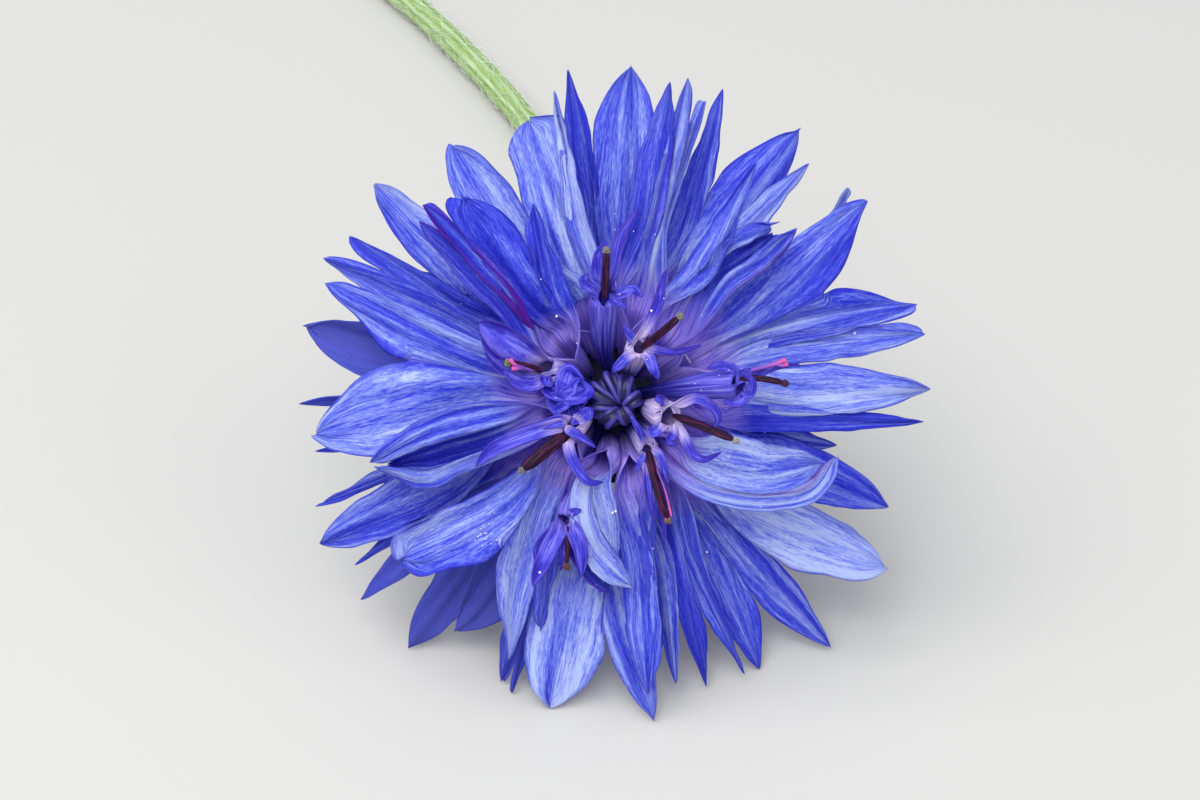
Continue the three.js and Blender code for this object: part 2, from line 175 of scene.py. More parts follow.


# Firm green plant tissue: matt and mottled light and dark by its cells every millimetre or so. Its top is
# painted shade, deep violet, where the florets crowd over it: full within 2 mm of the top and fading out 6 mm
# below it.
green, tree = new_material("receptacle_tissue_green")
where = add(tree, "TexCoord")
cells = add(tree, "TexNoise", {"Vector": where.outputs["Object"], "Scale": 900, "Detail": 3})
tones = add(tree, "MixRGB", [cells, "#4f6336", "#8ba163"])
height = add(tree, "VectorMath", [where.outputs["Object"], HEAD_AXIS], operation="DOT_PRODUCT")
top = HEAD_CENTRE.dot(HEAD_AXIS) - (RECEPTACLE_DEPTH - RECEPTACLE_HALF_LENGTH) * MM
low_stain, high_stain = (top - below * MM for below in STAIN)
shaded = add(tree, "MapRange", [height.outputs["Value"], low_stain, high_stain])
tones = add(tree, "MixRGB", [shaded, tones, "#1d1638"])
cover(tree, tones, 0.7, bumps=cells, height=0.2)
frame["nodes"]["receptacle"].data.materials.clear()
frame["nodes"]["receptacle"].data.materials.append(green)

# Ray florets: sterile outer florets of thin, silky petal tissue. Each is one corolla, a narrow tube that
# opens like a trumpet into one to four pointed lobes, fluted along their veins. They grow in four whorls.
PETAL_THICKNESS = 0.13
TUBE_RADIUS = 0.4
THROAT_RADIUS = 0.86
FAN_OPENING = (3.8, 5.2, 6.6)
TUBE_ROWS = 5
FAN_ROWS = 30
COLUMNS = 10
SLIT_HOLD = 0.3
SLIT_RANGE = (0.2, 0.9)
SHOULDER_AT = 0.55
SHOULDER_TURN = 0.6
WHORLS = {
    "back": {"root": (4, -10.4), "bend": (4.2, -8.2), "throat": (6.8, -6.4), "crown": -4.6, "fan": 1},
    "middle": {"root": (3.3, -9.8), "bend": (3.5, -6.8), "throat": (5.6, -4), "crown": -1.4, "fan": 1},
    "front": {"root": (2.6, -9.6), "bend": (2.8, -5.6), "throat": (4.6, -1.8), "crown": 1.6, "fan": 1},
    "inner": {"root": (2.6, -9.5), "bend": (2.7, -4.6), "throat": (4.2, -0.6), "crown": 2.4, "fan": 0.5},
}


def lobe(angle, reach, width, depth, split=15, roll=(0.44, 0.44), hook=0, bow=0, skew=0, base=0.75,
         widest=0.6, point=1.6, end=0.14, rounded=0.9, pale=0, violet=(0, 0), ripple=0.14, creased=1,
         through=()):
    """One lobe: tip direction in degrees, reach of the tip from the axis, width, depth of the tip and reach
    at which the slit to the next lobe starts. Pairs go for its clockwise and anticlockwise halves: roll is
    how far each curls up, in radians, and violet how violet it is. base, widest, point, end and rounded
    shape its outline. bow bends the lobe sideways, skew widens its anticlockwise half, hook lifts its tip.
    through gives points that a curling lobe runs through. pale makes it paler or duller: partly its own tone,
    partly painted light on lobes facing the light and painted shade on lobes in shadow."""
    return dict(locals())


RAY_FLORETS = [
    ("middle", 27, [
        lobe(12.1, 21.9, 2.5, -3.6, 19.2, base=1.2, widest=0.72, pale=0.3),
        lobe(17.5, 21.9, 2.7, -3.4, 16.5, bow=0.3, widest=0.66, roll=(0.4, 1.4), pale=0.2),
        lobe(38.2, 22.2, 4.7, -2.4, 19.4, base=1.15, skew=0.05, point=1.35, end=0.1, roll=(1.2, 0.3),
             ripple=0.2, pale=0.1),
        lobe(41.8, 21.4, 0.9, -1.8, through=((7.6, 6.2, -3.6), (12.9, 9.9, -3.4), (15.3, 12.8, -2.6)), base=1,
             end=0.4, pale=0.9, hook=0.5)]),
    ("front", 47, [
        lobe(43.3, 16.8, 1.5, 0.8, 16, through=((6.8, 7.2, 0.6), (9.8, 9.3, 1)), base=0.9, end=0.5, point=3,
             roll=(0.9, 0.6), violet=(0.6, 0), pale=0.1, ripple=0.3),
        lobe(46, 15.6, 1.3, -0.1, through=((6.4, 8.2, 0.2), (8.8, 10, 0)), base=1, pale=-0.1),
        lobe(47.6, 16.2, 1.3, 0.9, 9, through=((5.8, 8.8, 0.5), (8.4, 11, 1)), base=1.1, end=0.6, point=3,
             roll=(0.7, 1), pale=0.3, ripple=0.4),
        lobe(59, 18.9, 3.2, -0.2, roll=(2.2, 0.3), skew=-0.2, widest=0.5, point=1.3, pale=0.2)]),
    ("back", 60, [
        lobe(50.5, 21.3, 2.6, -4.6, 15.5, end=0.1, pale=0.9, roll=(1, 0.3)),
        lobe(55.5, 22.9, 4.5, -6, 16.5, skew=0.15, end=0.3, pale=0.15),
        lobe(70.7, 23, 3.6, -6, base=1.3, skew=0.2, widest=0.3, point=1, end=0.12)]),
    ("middle", 76, [
        lobe(72.9, 21.7, 0.6, -3.4, 19.8, base=4, widest=0.5, point=1.4, end=0.3, pale=0.5),
        lobe(77, 22.8, 1.7, -3.2, 17.6, pale=0.6),
        lobe(80, 22.3, 2.9, -3, widest=0.68, point=1.15, skew=0.1, violet=(0.1, 0.1))]),
    ("back", 92, [
        lobe(87, 23.4, 4.7, -6.4, 17.6, widest=0.7, point=1.8, end=0.3, pale=0.35),
        lobe(97.9, 23.3, 2.2, -6, base=1.7, skew=0.2, point=1.4, end=0.12, pale=-0.1)]),
    ("middle", 108, [
        lobe(100.9, 21.7, 2.2, -2.6, 18, base=1.5, skew=-0.2, widest=0.4, point=1.2, pale=0.75,
             roll=(0.9, 0.5)),
        lobe(106.8, 20, 4.7, -3.4, 8.4, skew=-0.1, widest=0.85, point=8, end=0.8, pale=0.5, ripple=0.3,
             rounded=0.97),
        lobe(119, 11.4, 4.2, -0.2, base=1, end=0.2, point=1.2, pale=0.5)]),
    ("back", 124, [
        lobe(122.4, 21.2, 4.4, -6.2, 14.5, widest=0.55, point=2.1, end=0.4, pale=0.4),
        lobe(130.5, 17.8, 2, -6.6)]),
    ("front", 134, [
        lobe(112.5, 14.4, 2.6, -0.6, 11.5, base=1, widest=0.4, point=1.1, end=0.15, pale=-0.2),
        lobe(127, 17, 3.9, 0, 15.2, base=1, widest=0.68, point=1.7, end=0.5, roll=(0.3, 0.8), pale=-0.3,
             ripple=0.5, creased=1.6),
        lobe(134.4, 18.6, 2.2, 0.4, 9.5, violet=(0.4, 1), roll=(0.3, 1.6), pale=-0.35),
        lobe(137.4, 18, 2.6, -0.8, violet=(1, 0.2), roll=(1.4, 0.3), point=1.9, pale=-0.35)]),
    ("back", 143, [
        lobe(138, 22.5, 4.2, -6.2, 14.5, base=0.8, widest=0.5, point=1.7, skew=0.1, end=0.3, pale=0.5),
        lobe(147, 17, 2.2, -7)]),
    ("middle", 152, [
        lobe(148.2, 21.5, 2, -3.6, 18.4, widest=0.5, point=1.5, end=0.2),
        lobe(154, 22.3, 2.4, -3.2, point=1.5, end=0.12)]),
    ("front", 170, [
        lobe(157.9, 21.2, 2.4, -1.4, 14.8, base=0.9, end=0.45, point=2.4, pale=0.4),
        lobe(186.6, 20.6, 5.2, -1.2, widest=0.7, point=2.2, end=0.3, pale=0.55)]),
    ("back", 173, [
        lobe(166.7, 22.1, 4.3, -6.6, 14, skew=0.15, point=2, end=0.35, pale=-1.5),
        lobe(180.6, 21.9, 1.9, -7, widest=0.4, point=1.2, pale=-0.8)]),
    ("back", 193, [
        lobe(189.8, 21.1, 1.8, -6.6, widest=0.4, point=1.4, pale=-0.4),
        lobe(199.5, 22.1, 0.9, -6.2, widest=0.3, point=2, end=0.6)]),
    ("inner", 194, [
        lobe(194.4, 17, 2.3, 0.7, 16.2, through=((-7.8, -1, 1.9), (-12.4, -2.1, 1.8)), base=0.9, widest=0.5,
             point=2, end=0.3, roll=(0.5, 1), pale=0.4),
        lobe(196.5, 15.8, 1.7, -0.8, 15.2, through=((-7.8, -2.5, 0.9), (-11.8, -3.7, -0.7)), base=0.9,
             pale=-0.2),
        lobe(195.9, 16.7, 1.2, 0.6, through=((-7.2, -3, 1.6), (-10.8, -4.6, 1.5), (-12.7, -5.5, 1)), base=0.9,
             end=0.4, roll=(0.9, 0.5), pale=0.4)]),
    ("back", 209, [
        lobe(206, 22.8, 4.4, -6.2, 16.5, point=1.7, end=0.3, pale=0.15),
        lobe(212.5, 21.6, 1.5, -6.6, widest=0.5, pale=-0.1),
        lobe(218.2, 22.4, 2.2, -7, widest=0.55, point=2.5, end=0.3, pale=-0.9)]),
    ("back", 224, [
        lobe(221.5, 16.8, 2, -8, 14, pale=-0.8),
        lobe(230.3, 22.5, 4.3, -8.8, point=1.8, end=0.3, pale=-1)]),
    ("front", 229, [
        lobe(217, 18, 3.9, -0.2, 12.4, bow=0.7, base=0.5, widest=0.85, point=3, end=0.7, pale=0.45,
             ripple=0.25, roll=(0.3, 0.9), rounded=0.94),
        lobe(247.9, 19.2, 2.8, -2.4, 15.6, bow=-0.6, widest=0.55, point=1.4, pale=0.6),
        lobe(252, 16.4, 1.3, -2.2, end=0.3, pale=0.2)]),
    ("back", 245, [
        lobe(235.6, 19.6, 4, -5.8, 16.4, pale=-1),
        lobe(248.2, 21.1, 1.7, -5.4, 19, widest=0.5, end=0.2, pale=-0.8),
        lobe(250.8, 21.6, 1.4, -4.8, widest=0.4, end=0.12, pale=-0.7)]),
    ("inner", 264, [
        lobe(269.6, 13.3, 1.4, 0.9, 7, through=((-2.6, -6.6, 0.8), (-2.8, -9.2, 1), (-1.8, -11.6, 1.2)),
             pale=-0.6, violet=(0.5, 0.9), roll=(0.8, 0.8)),
        lobe(275, 12.6, 2.2, 1.3, 8.2,
             through=((-2, -5, 1.4), (-2.3, -7.4, 2), (-1.6, -9.6, 2.1), (-0.5, -11.2, 1.9)), widest=0.7,
             end=0.35, point=2.2, roll=(-0.6, 0.3), pale=0.9, violet=(0, 0.2), rounded=0.96),
        lobe(270.3, 11, 1.7, 1, through=((-1, -5.4, 1.7), (-0.5, -7.9, 1.5)), end=0.2, point=1.8, pale=0.8)]),
    ("middle", 256, [
        lobe(258.2, 21.7, 5.4, -3.6, 16.2, widest=0.66, point=2.6, end=0.42, pale=0.8, rounded=0.92),
        lobe(277.2, 22.1, 3.2, -2.3, end=0.3, pale=0.5)]),
    ("front", 286, [
        lobe(276.6, 20.2, 2.8, -1, 13.5, widest=0.72, point=1.4, pale=-0.1),
        lobe(281, 17.2, 1.3, -1.4, pale=-0.6)]),
    ("middle", 298, [
        lobe(282.4, 20, 3, -3.4, 14, roll=(0.4, 2.6), skew=0.2, pale=0.2),
        lobe(287.9, 20.9, 1.8, -5, 16, widest=0.5, end=0.12, pale=-0.4),
        lobe(295.5, 21, 2, -5.6, widest=0.35, point=1, pale=0.3)]),
    ("back", 311, [
        lobe(298.4, 21.3, 2.9, -7.2, 16.5, widest=0.45, point=2, end=0.35),
        lobe(311.3, 23.1, 3.1, -8.6, 16, skew=-0.2, widest=0.5, point=1.7, end=0.3, pale=0.3),
        lobe(328.6, 22.5, 4.8, -5.8, skew=-0.15, widest=0.55, point=2.2, end=0.35, pale=1.3)]),
    ("inner", 318, [
        lobe(345.2, 15.5, 1.5, 2, 13.6, through=((6, -6.1, 1.4), (10, -6.9, 1.8), (13.4, -6.2, 2.1)),
             base=0.8, end=0.4, point=2, roll=(1, 0.7), violet=(0, 0.9), pale=1),
        lobe(342.8, 14.6, 4.4, 1, through=((6, -3.8, 1), (10, -4.7, 1.3)), base=1.05, widest=0.5, end=0.3,
             point=2, roll=(0.3, 0.6), pale=1.15)]),
    ("back", 342, [
        lobe(338.7, 20.7, 4.8, -6.4, 14, widest=0.55, point=1.5, skew=0.1, pale=0.2),
        lobe(348.5, 16, 2.4, -6.6)]),
    ("middle", 358, [
        lobe(356, 21.4, 2.2, -3.4, 15.6, bow=-0.45, widest=0.45, point=1.3, hook=1, pale=-0.2),
        lobe(362, 21.9, 4.1, -3, base=1, point=1.4, skew=0.15, pale=0.7)]),
]

# How the tissue of a lobe is worked: the notches of its edges with their counts and weights, its folds and
# creases with their heights and how close they lie, the ripples of its margins, its hooked tip and torn end.
NOTCH_DEPTH = 0.22
NOTCHES = ((9, 1), (23, 0.7))
NOTCHED_FROM = (0.4, 0.7)
NOTCHED_TO = (1, 0.9)
FLUTES = ((0.75, 0.55, 1.1, 1), (0.55, 1.6, 2.2, 2))
FLUTED_FROM = (0, 0.3)
RIPPLE_HEIGHT = 1.4
RIPPLES_ALONG = 11
RIPPLE_OWN = 2.4
RIPPLE_ACROSS = 1.3
RIPPLED_FROM = (0.3, 0.8)
HOOK_FROM = 0.7
TEAR_DEPTH = 2
TEARS_ACROSS = 2.5
TORN_FROM = (0.75, 1)

# The margin of a lobe that can be violet, as a share of its width, how near a seam a point counts as on it,
# and how near two points count as one.
VIOLET_MARGIN = 0.35
SEAM = 0.01
WELD = 0.0001

# How a fan of lobes unrolls from the ring of its tube: how much of the ring is left, how far it is flattened
# and how level it lies when open. Lobes that reach the surface are lifted onto it.
FAN_OPEN_BY = (0, 0.3)
FAN_ARC = 0.45
FAN_FLAT = 0.5
FAN_LEVEL = 0.85
SURFACE_UP = Vector((0, math.cos(FACE_TILT), math.sin(FACE_TILT)))


class Path:
    """A curve from a start, bending towards a point, to an end."""

    def __init__(self, start, bend, end):
        self.points = (start, bend, end)

    def at(self, share):
        start, bend, end = self.points
        return start.lerp(bend, share).lerp(bend.lerp(end, share), share)

    def heading(self, share):
        start, bend, end = self.points
        return (bend.lerp(end, share) - start.lerp(bend, share)).normalized()


class Route:
    """A smooth curve through a row of points, evened out by the root of the distance between each two."""

    def __init__(self, points):
        self.points = [Vector(point) for point in points]

    def at(self, share):
        points, last = self.points, len(self.points) - 2
        i = min(int(share * (last + 1)), last)
        t = share * (last + 1) - i
        b, c = points[i], points[i + 1]
        a = points[i - 1] if i else 2 * b - c
        d = points[i + 2] if i < last else 2 * c - b
        before, here, after = (max((q - p).length, 1e-6) ** 0.5 for p, q in ((a, b), (b, c), (c, d)))
        leave = ((b - a) / before - (c - a) / (before + here) + (c - b) / here) * here
        arrive = ((c - b) / here - (d - b) / (here + after) + (d - c) / after) * here
        bent = (3 * (c - b) - 2 * leave - arrive) * t ** 2 + (2 * (b - c) + leave + arrive) * t ** 3
        return b + leave * t + bent

    def heading(self, share):
        return (self.at(min(share + 0.01, 1)) - self.at(max(share - 0.01, 0))).normalized()


def lobe_width(share, form):
    """How wide a lobe is from its base to its tip, as a share of its full width."""
    if share < form["widest"]:
        return lerp(form["base"], 1, math.sin(share / form["widest"] * math.pi / 2))
    narrowed = lerp(1, form["end"], ((share - form["widest"]) / (1 - form["widest"])) ** form["point"])
    rounding = max(share - form["rounded"], 0) / (1 - form["rounded"])
    return narrowed * math.sqrt(1 - min(rounding, 1) ** 2)


def blade_point(path, facing, form, share, x):
    """A point of a lobe: share runs from its base to its tip, and x from -1 to 1 across it."""
    own, creased = form["angle"], form["creased"]
    along = path.heading(share)
    side = facing.cross(along).normalized()
    rise = along.cross(side)
    half = 0.5 * form["width"] * lobe_width(share, form) * (1 + form["skew"] * math.copysign(1, x))
    ragged = smooth_step(*NOTCHED_FROM, share) * smooth_step(*NOTCHED_TO, share)
    notches = sum(weight * noise.noise(Vector((count * share, x, own))) for count, weight in NOTCHES)
    half += NOTCH_DEPTH * creased * ragged * notches
    roll = form["roll"][x > 0]
    curl = roll * abs(x)
    out_sideways = half * math.copysign(math.sin(curl) / roll, x)
    up = half * (1 - math.cos(curl)) / roll
    bumps = sum(height * noise.noise(Vector((across * half * x + own, lengthwise * share, seed * own)))
                for height, across, lengthwise, seed in FLUTES)
    flute = creased * bumps * smooth_step(*FLUTED_FROM, share)
    swing = math.sin(RIPPLES_ALONG * share + RIPPLE_OWN * own + RIPPLE_ACROSS * x)
    wave = RIPPLE_HEIGHT * form["ripple"] * abs(x) ** 3 * swing * smooth_step(*RIPPLED_FROM, share)
    lift = form["hook"] * max(share - HOOK_FROM, 0) ** 2 / (1 - HOOK_FROM) ** 2
    bow = form["bow"] * 4 * share * (1 - share)
    jagged = noise.noise(Vector((TEARS_ACROSS * x, own, 0))) * smooth_step(*TORN_FROM, share)
    torn = TEAR_DEPTH * form["end"] * creased * jagged
    rim = side * (out_sideways + bow) + rise * (up + flute + wave)
    return path.at(share) + along * torn + rim + facing * lift


def corolla(tube, radii, opening, lobes, rows, columns, slits, hold_for, settled=0.5, ribs=0, spread=0):
    """A sheet of tissue as a tube that opens into lobes, or spreads like a fan. radii are those of the foot
    and mouth of the tube, slits the shares of the lobes at which they part, hold_for how long they still
    cling together, and settled where a lobe has its own shape. UV: across and along the lobes."""
    tube_rows, fan_rows = rows
    count = len(lobes)
    facing = Vector((0, 0, 1))
    bm = bmesh.new()
    bmesh.ops.create_grid(bm, x_segments=columns * count, y_segments=tube_rows + fan_rows, size=0.5)
    uv = bm.loops.layers.uv.new("lobe")
    tint = bm.verts.layers.float_color.new("tissue")
    bmesh.ops.translate(bm, vec=(0.5, 0.5, 0), verts=bm.verts)
    bmesh.ops.scale(bm, vec=(count, tube_rows + fan_rows, 1), verts=bm.verts)
    cut = [e for e in bm.edges for i, slit in enumerate(slits)
           if all(abs(v.co.x - i - 1) < SEAM for v in e.verts)
           and min(v.co.y for v in e.verts) > tube_rows + slit * fan_rows - 0.5]
    bmesh.ops.split_edges(bm, edges=cut)
    across = facing.cross(tube.at(1) - tube.at(0)).normalized()

    def spot(i, column, row):
        path, form = lobes[i]
        on_tube, on_fan = min(row / tube_rows, 1), max(row - tube_rows, 0) / fan_rows
        heart = tube.heading(on_tube)
        centre = tube.at(on_tube) + heart * 2 * opening * on_fan
        opened = spread * smooth_step(*FAN_OPEN_BY, on_fan)
        if spread and on_fan:
            centre = sum((way.at(on_fan) for way, _ in lobes), Vector()) / count
            heart = heart.lerp(sum((way.heading(on_fan) for way, _ in lobes), Vector()) / count, opened)
        up = heart.cross(across).normalized()
        psi = 2 * math.pi / count * (i + column - count / 2) * lerp(1, FAN_ARC, opened)
        radius = lerp(*radii, smooth_step(0, 1, on_tube)) + opening * on_fan
        radius *= 1 + ribs * math.cos(2 * count * psi)
        drop = radius * lerp(1, FAN_FLAT, opened) * (math.cos(psi) - FAN_LEVEL * opened)
        on_ring = centre - up * drop + across * radius * math.sin(psi)
        on_lobe = blade_point(path, facing, form, on_fan, 2 * column - 1)
        return on_ring.lerp(on_lobe, smooth_step(0, settled, on_fan))

    places = {}
    for v in bm.verts:
        middle = sum(f.calc_center_median().x for f in v.link_faces) / len(v.link_faces)
        i = min(int(middle), count - 1)
        column, row = v.co.x - i, v.co.y
        place = spot(i, column, row)
        for seam, mine, other in ((i - 1, column < SEAM, (i - 1, 1)), (i, column > 1 - SEAM, (i + 1, 0))):
            if mine and 0 <= seam < len(slits):
                begin = tube_rows + slits[seam] * fan_rows
                hold = 1 - smooth_step(begin, begin + hold_for * fan_rows, row)
                place = place.lerp(place.lerp(spot(*other, row), 0.5), hold)
        places[v] = place
        form = lobes[i][1]
        clockwise, anticlockwise = form["violet"]
        violet = (lerp(clockwise, 0, smooth_step(0, VIOLET_MARGIN, column))
                  + lerp(0, anticlockwise, smooth_step(1 - VIOLET_MARGIN, 1, column)))
        v[tint] = (0.5 + 0.5 * form["pale"], violet, 0.5 + 0.5 * math.sin(form["angle"]), 1)
    for f in bm.faces:
        i = min(int(f.calc_center_median().x), count - 1)
        for loop in f.loops:
            loop[uv].uv = (loop.vert.co.x + i, (loop.vert.co.y - tube_rows) / fan_rows)
    for v, place in places.items():
        v.co = place
    bmesh.ops.remove_doubles(bm, verts=bm.verts, dist=WELD)
    return bm


def streaks(tree, place, across, along, detail, roughness=0.6, distortion=0):
    """Noise drawn out along a piece, with so many streaks across it and so many patches along it."""
    drawn = add(tree, "Mapping", {"Vector": place, "Scale": (across, along, 1)})
    return add(tree, "TexNoise", {"Vector": drawn, "Scale": 1, "Detail": detail, "Roughness": roughness,
                                  "Distortion": distortion})


def soften(piece):
    soft = piece.modifiers.new("smooth", "SUBSURF")
    soft.levels = soft.render_levels = 1


def thicken(piece, thickness):
    """Gives a sheet of tissue its thickness, half to each side."""
    solid = piece.modifiers.new("thickness", "SOLIDIFY")
    solid.thickness = thickness * MM
    solid.offset = 0


# Petal tissue, silky and matt, that light passes through. Its veins lie about 0.25 mm apart and show as fine
# darker lines between paler ones; broad bands of painted light and shade, two or three to a lobe, stand for
# the shading of its folds; the cells give it a fine grain.
# Each is a noise drawn out along the lobe: how many across and along, detail, distortion and its weight.
STREAKS = ((3.2, 0.9, 1, 0.3, 0.44), (20, 5, 3, 0.7, 0.4), (60, 34, 2, 0.3, 0.27))

petal, tree = new_material("petal_tissue_silky_blue")
uv = add(tree, "UVMap", uv_map="lobe")
place_x, place_y, _ = add(tree, "SeparateXYZ", [uv]).outputs
tissue = add(tree, "Attribute", attribute_name="tissue")
pale, violet, seed = add(tree, "SeparateColor", [tissue]).outputs
own = add(tree, "Math", [seed, 20], operation="MULTIPLY")
on_lobe = add(tree, "CombineXYZ", [place_x, place_y, own])
# The first layer is painted light and shade of folds; the veins and grain are the tissue's own.
folds, veins, grain = (streaks(tree, on_lobe, across, along, detail, distortion=swirl)
                       for across, along, detail, swirl, _ in STREAKS)
pattern = 0
for layer, (*_, weight) in zip((folds, veins, grain), STREAKS):
    pattern = add(tree, "Math", [layer, weight, pattern], operation="MULTIPLY_ADD")
# Painted light: each lobe is painted a little paler towards its foot, which slopes into the middle of the
# head and gets less light.
paler_foot = add(tree, "MapRange", [place_y, 0.1, 1, 0.05, 0.02])
# Each lobe's pale value makes it paler or duller: partly its own tone, partly painted light on lobes that
# face the light and painted shade on lobes in shadow.
own_tone = add(tree, "MapRange", {"Value": pale, "To Min": -0.165, "To Max": 0.08}, clamp=False)
with_foot = add(tree, "Math", [pattern, paler_foot], operation="ADD")
tone = add(tree, "Math", [with_foot, own_tone], operation="ADD")
tones = add(tree, "ValToRGB", [tone],
            ((0.35, "#1412a2"), (0.44, "#272ec8"), (0.52, "#404bd6"), (0.61, "#7988e6"), (0.72, "#bccaf2")))
across = add(tree, "Math", [place_x], operation="FRACT")
off_middle = add(tree, "Math", [across, 0.5], operation="SUBTRACT")
spread = add(tree, "Math", [off_middle], operation="ABSOLUTE")
margin = add(tree, "MapRange", [spread, 0.455, 0.495, 0, 0.6])
edged = add(tree, "MixRGB", [margin, tones, "#2424bc"])
# Duller lobes are mixed towards a greyer blue, for their own dullness and for painted shade.
dusk = add(tree, "MapRange", [pale, 0.3, 0, 0, 0.6])
dusky = add(tree, "MixRGB", [dusk, edged, "#636bc4"])
throat = add(tree, "MapRange", [place_y, 0.3, 0.06])
throat_tone = add(tree, "ValToRGB", [veins], ((0.32, "#6f58f2"), (0.6, "#d6beff")))
throated = add(tree, "MixRGB", [throat, dusky, throat_tone])
colour = add(tree, "MixRGB", [violet, throated, "#5a12a0"])
cover(tree, colour, 0.5, shine=0.25, bumps=pattern, height=0.2, through=0.36)

for number, (whorl, heading, lobes) in enumerate(RAY_FLORETS, 1):
    place_of = WHORLS[whorl]
    root, bend, throat_at = (polar(heading, *place_of[key]) for key in ("root", "bend", "throat"))
    start = place_of["throat"][0]
    blades = []
    for form in lobes:
        shoulder = polar(lerp(heading, form["angle"], SHOULDER_TURN), SHOULDER_AT * form["reach"],
                         place_of["crown"])
        tip = polar(form["angle"], form["reach"], form["depth"])
        way = Route([throat_at, *form["through"], tip]) if form["through"] else Path(throat_at, shoulder, tip)
        blades.append((way, form))
    slits = [min(max((form["split"] - start) / (form["reach"] - start), SLIT_RANGE[0]), SLIT_RANGE[1])
             for form in lobes[:-1]]
    opening = FAN_OPENING[min(len(lobes), 3) - 1] * place_of["fan"]
    bm = corolla(Path(root, bend, throat_at), (TUBE_RADIUS, THROAT_RADIUS), opening, blades,
                 (TUBE_ROWS, FAN_ROWS), COLUMNS, slits, SLIT_HOLD, spread=1)
    for v in bm.verts:
        sunk = PETAL_THICKNESS - (HEAD @ v.co).z / MM
        if sunk > 0:
            v.co += SURFACE_UP * sunk
    floret = finish_fine("ray_floret", number, bm, petal, "petal")
    thicken(floret, PETAL_THICKNESS)
    soften(floret)

# Disc florets: the small fertile florets of the middle, each a slender tube of petal tissue with a starry
# mouth and five narrow lobes that curl as they will. Their mouths are pale and pinkish, their lobes violet.
DISC_ROOT = (1.7, -9.5)
DISC_TUBE_RADIUS = 0.3
DISC_TISSUE = 0.12
DISC_ROWS = (12, 20)
DISC_COLUMNS = 6
DISC_OPENING = 0.3
DISC_SLITS = [0, 0, 0, 0]
DISC_SLIT_HOLD = 0.12
DISC_SETTLED = 0.25
DISC_RIBS = 0.05


def disc_lobe(width, *way, roll=(0.7, 0.7), violet=0.3, widest=0.35, end=0.2):
    """One lobe of an inner floret: its width, then the points that it runs through after the mouth. The place
    of its tip makes its noise its own."""
    tip_x, tip_y, _ = way[-1]
    own = 31 * tip_x + 17 * tip_y
    shape = lobe(own, 0, width, 0, roll=roll, violet=(violet, violet), base=0.8, widest=widest, end=end,
                 point=1.8, ripple=0.03, creased=0.12)
    return way, shape


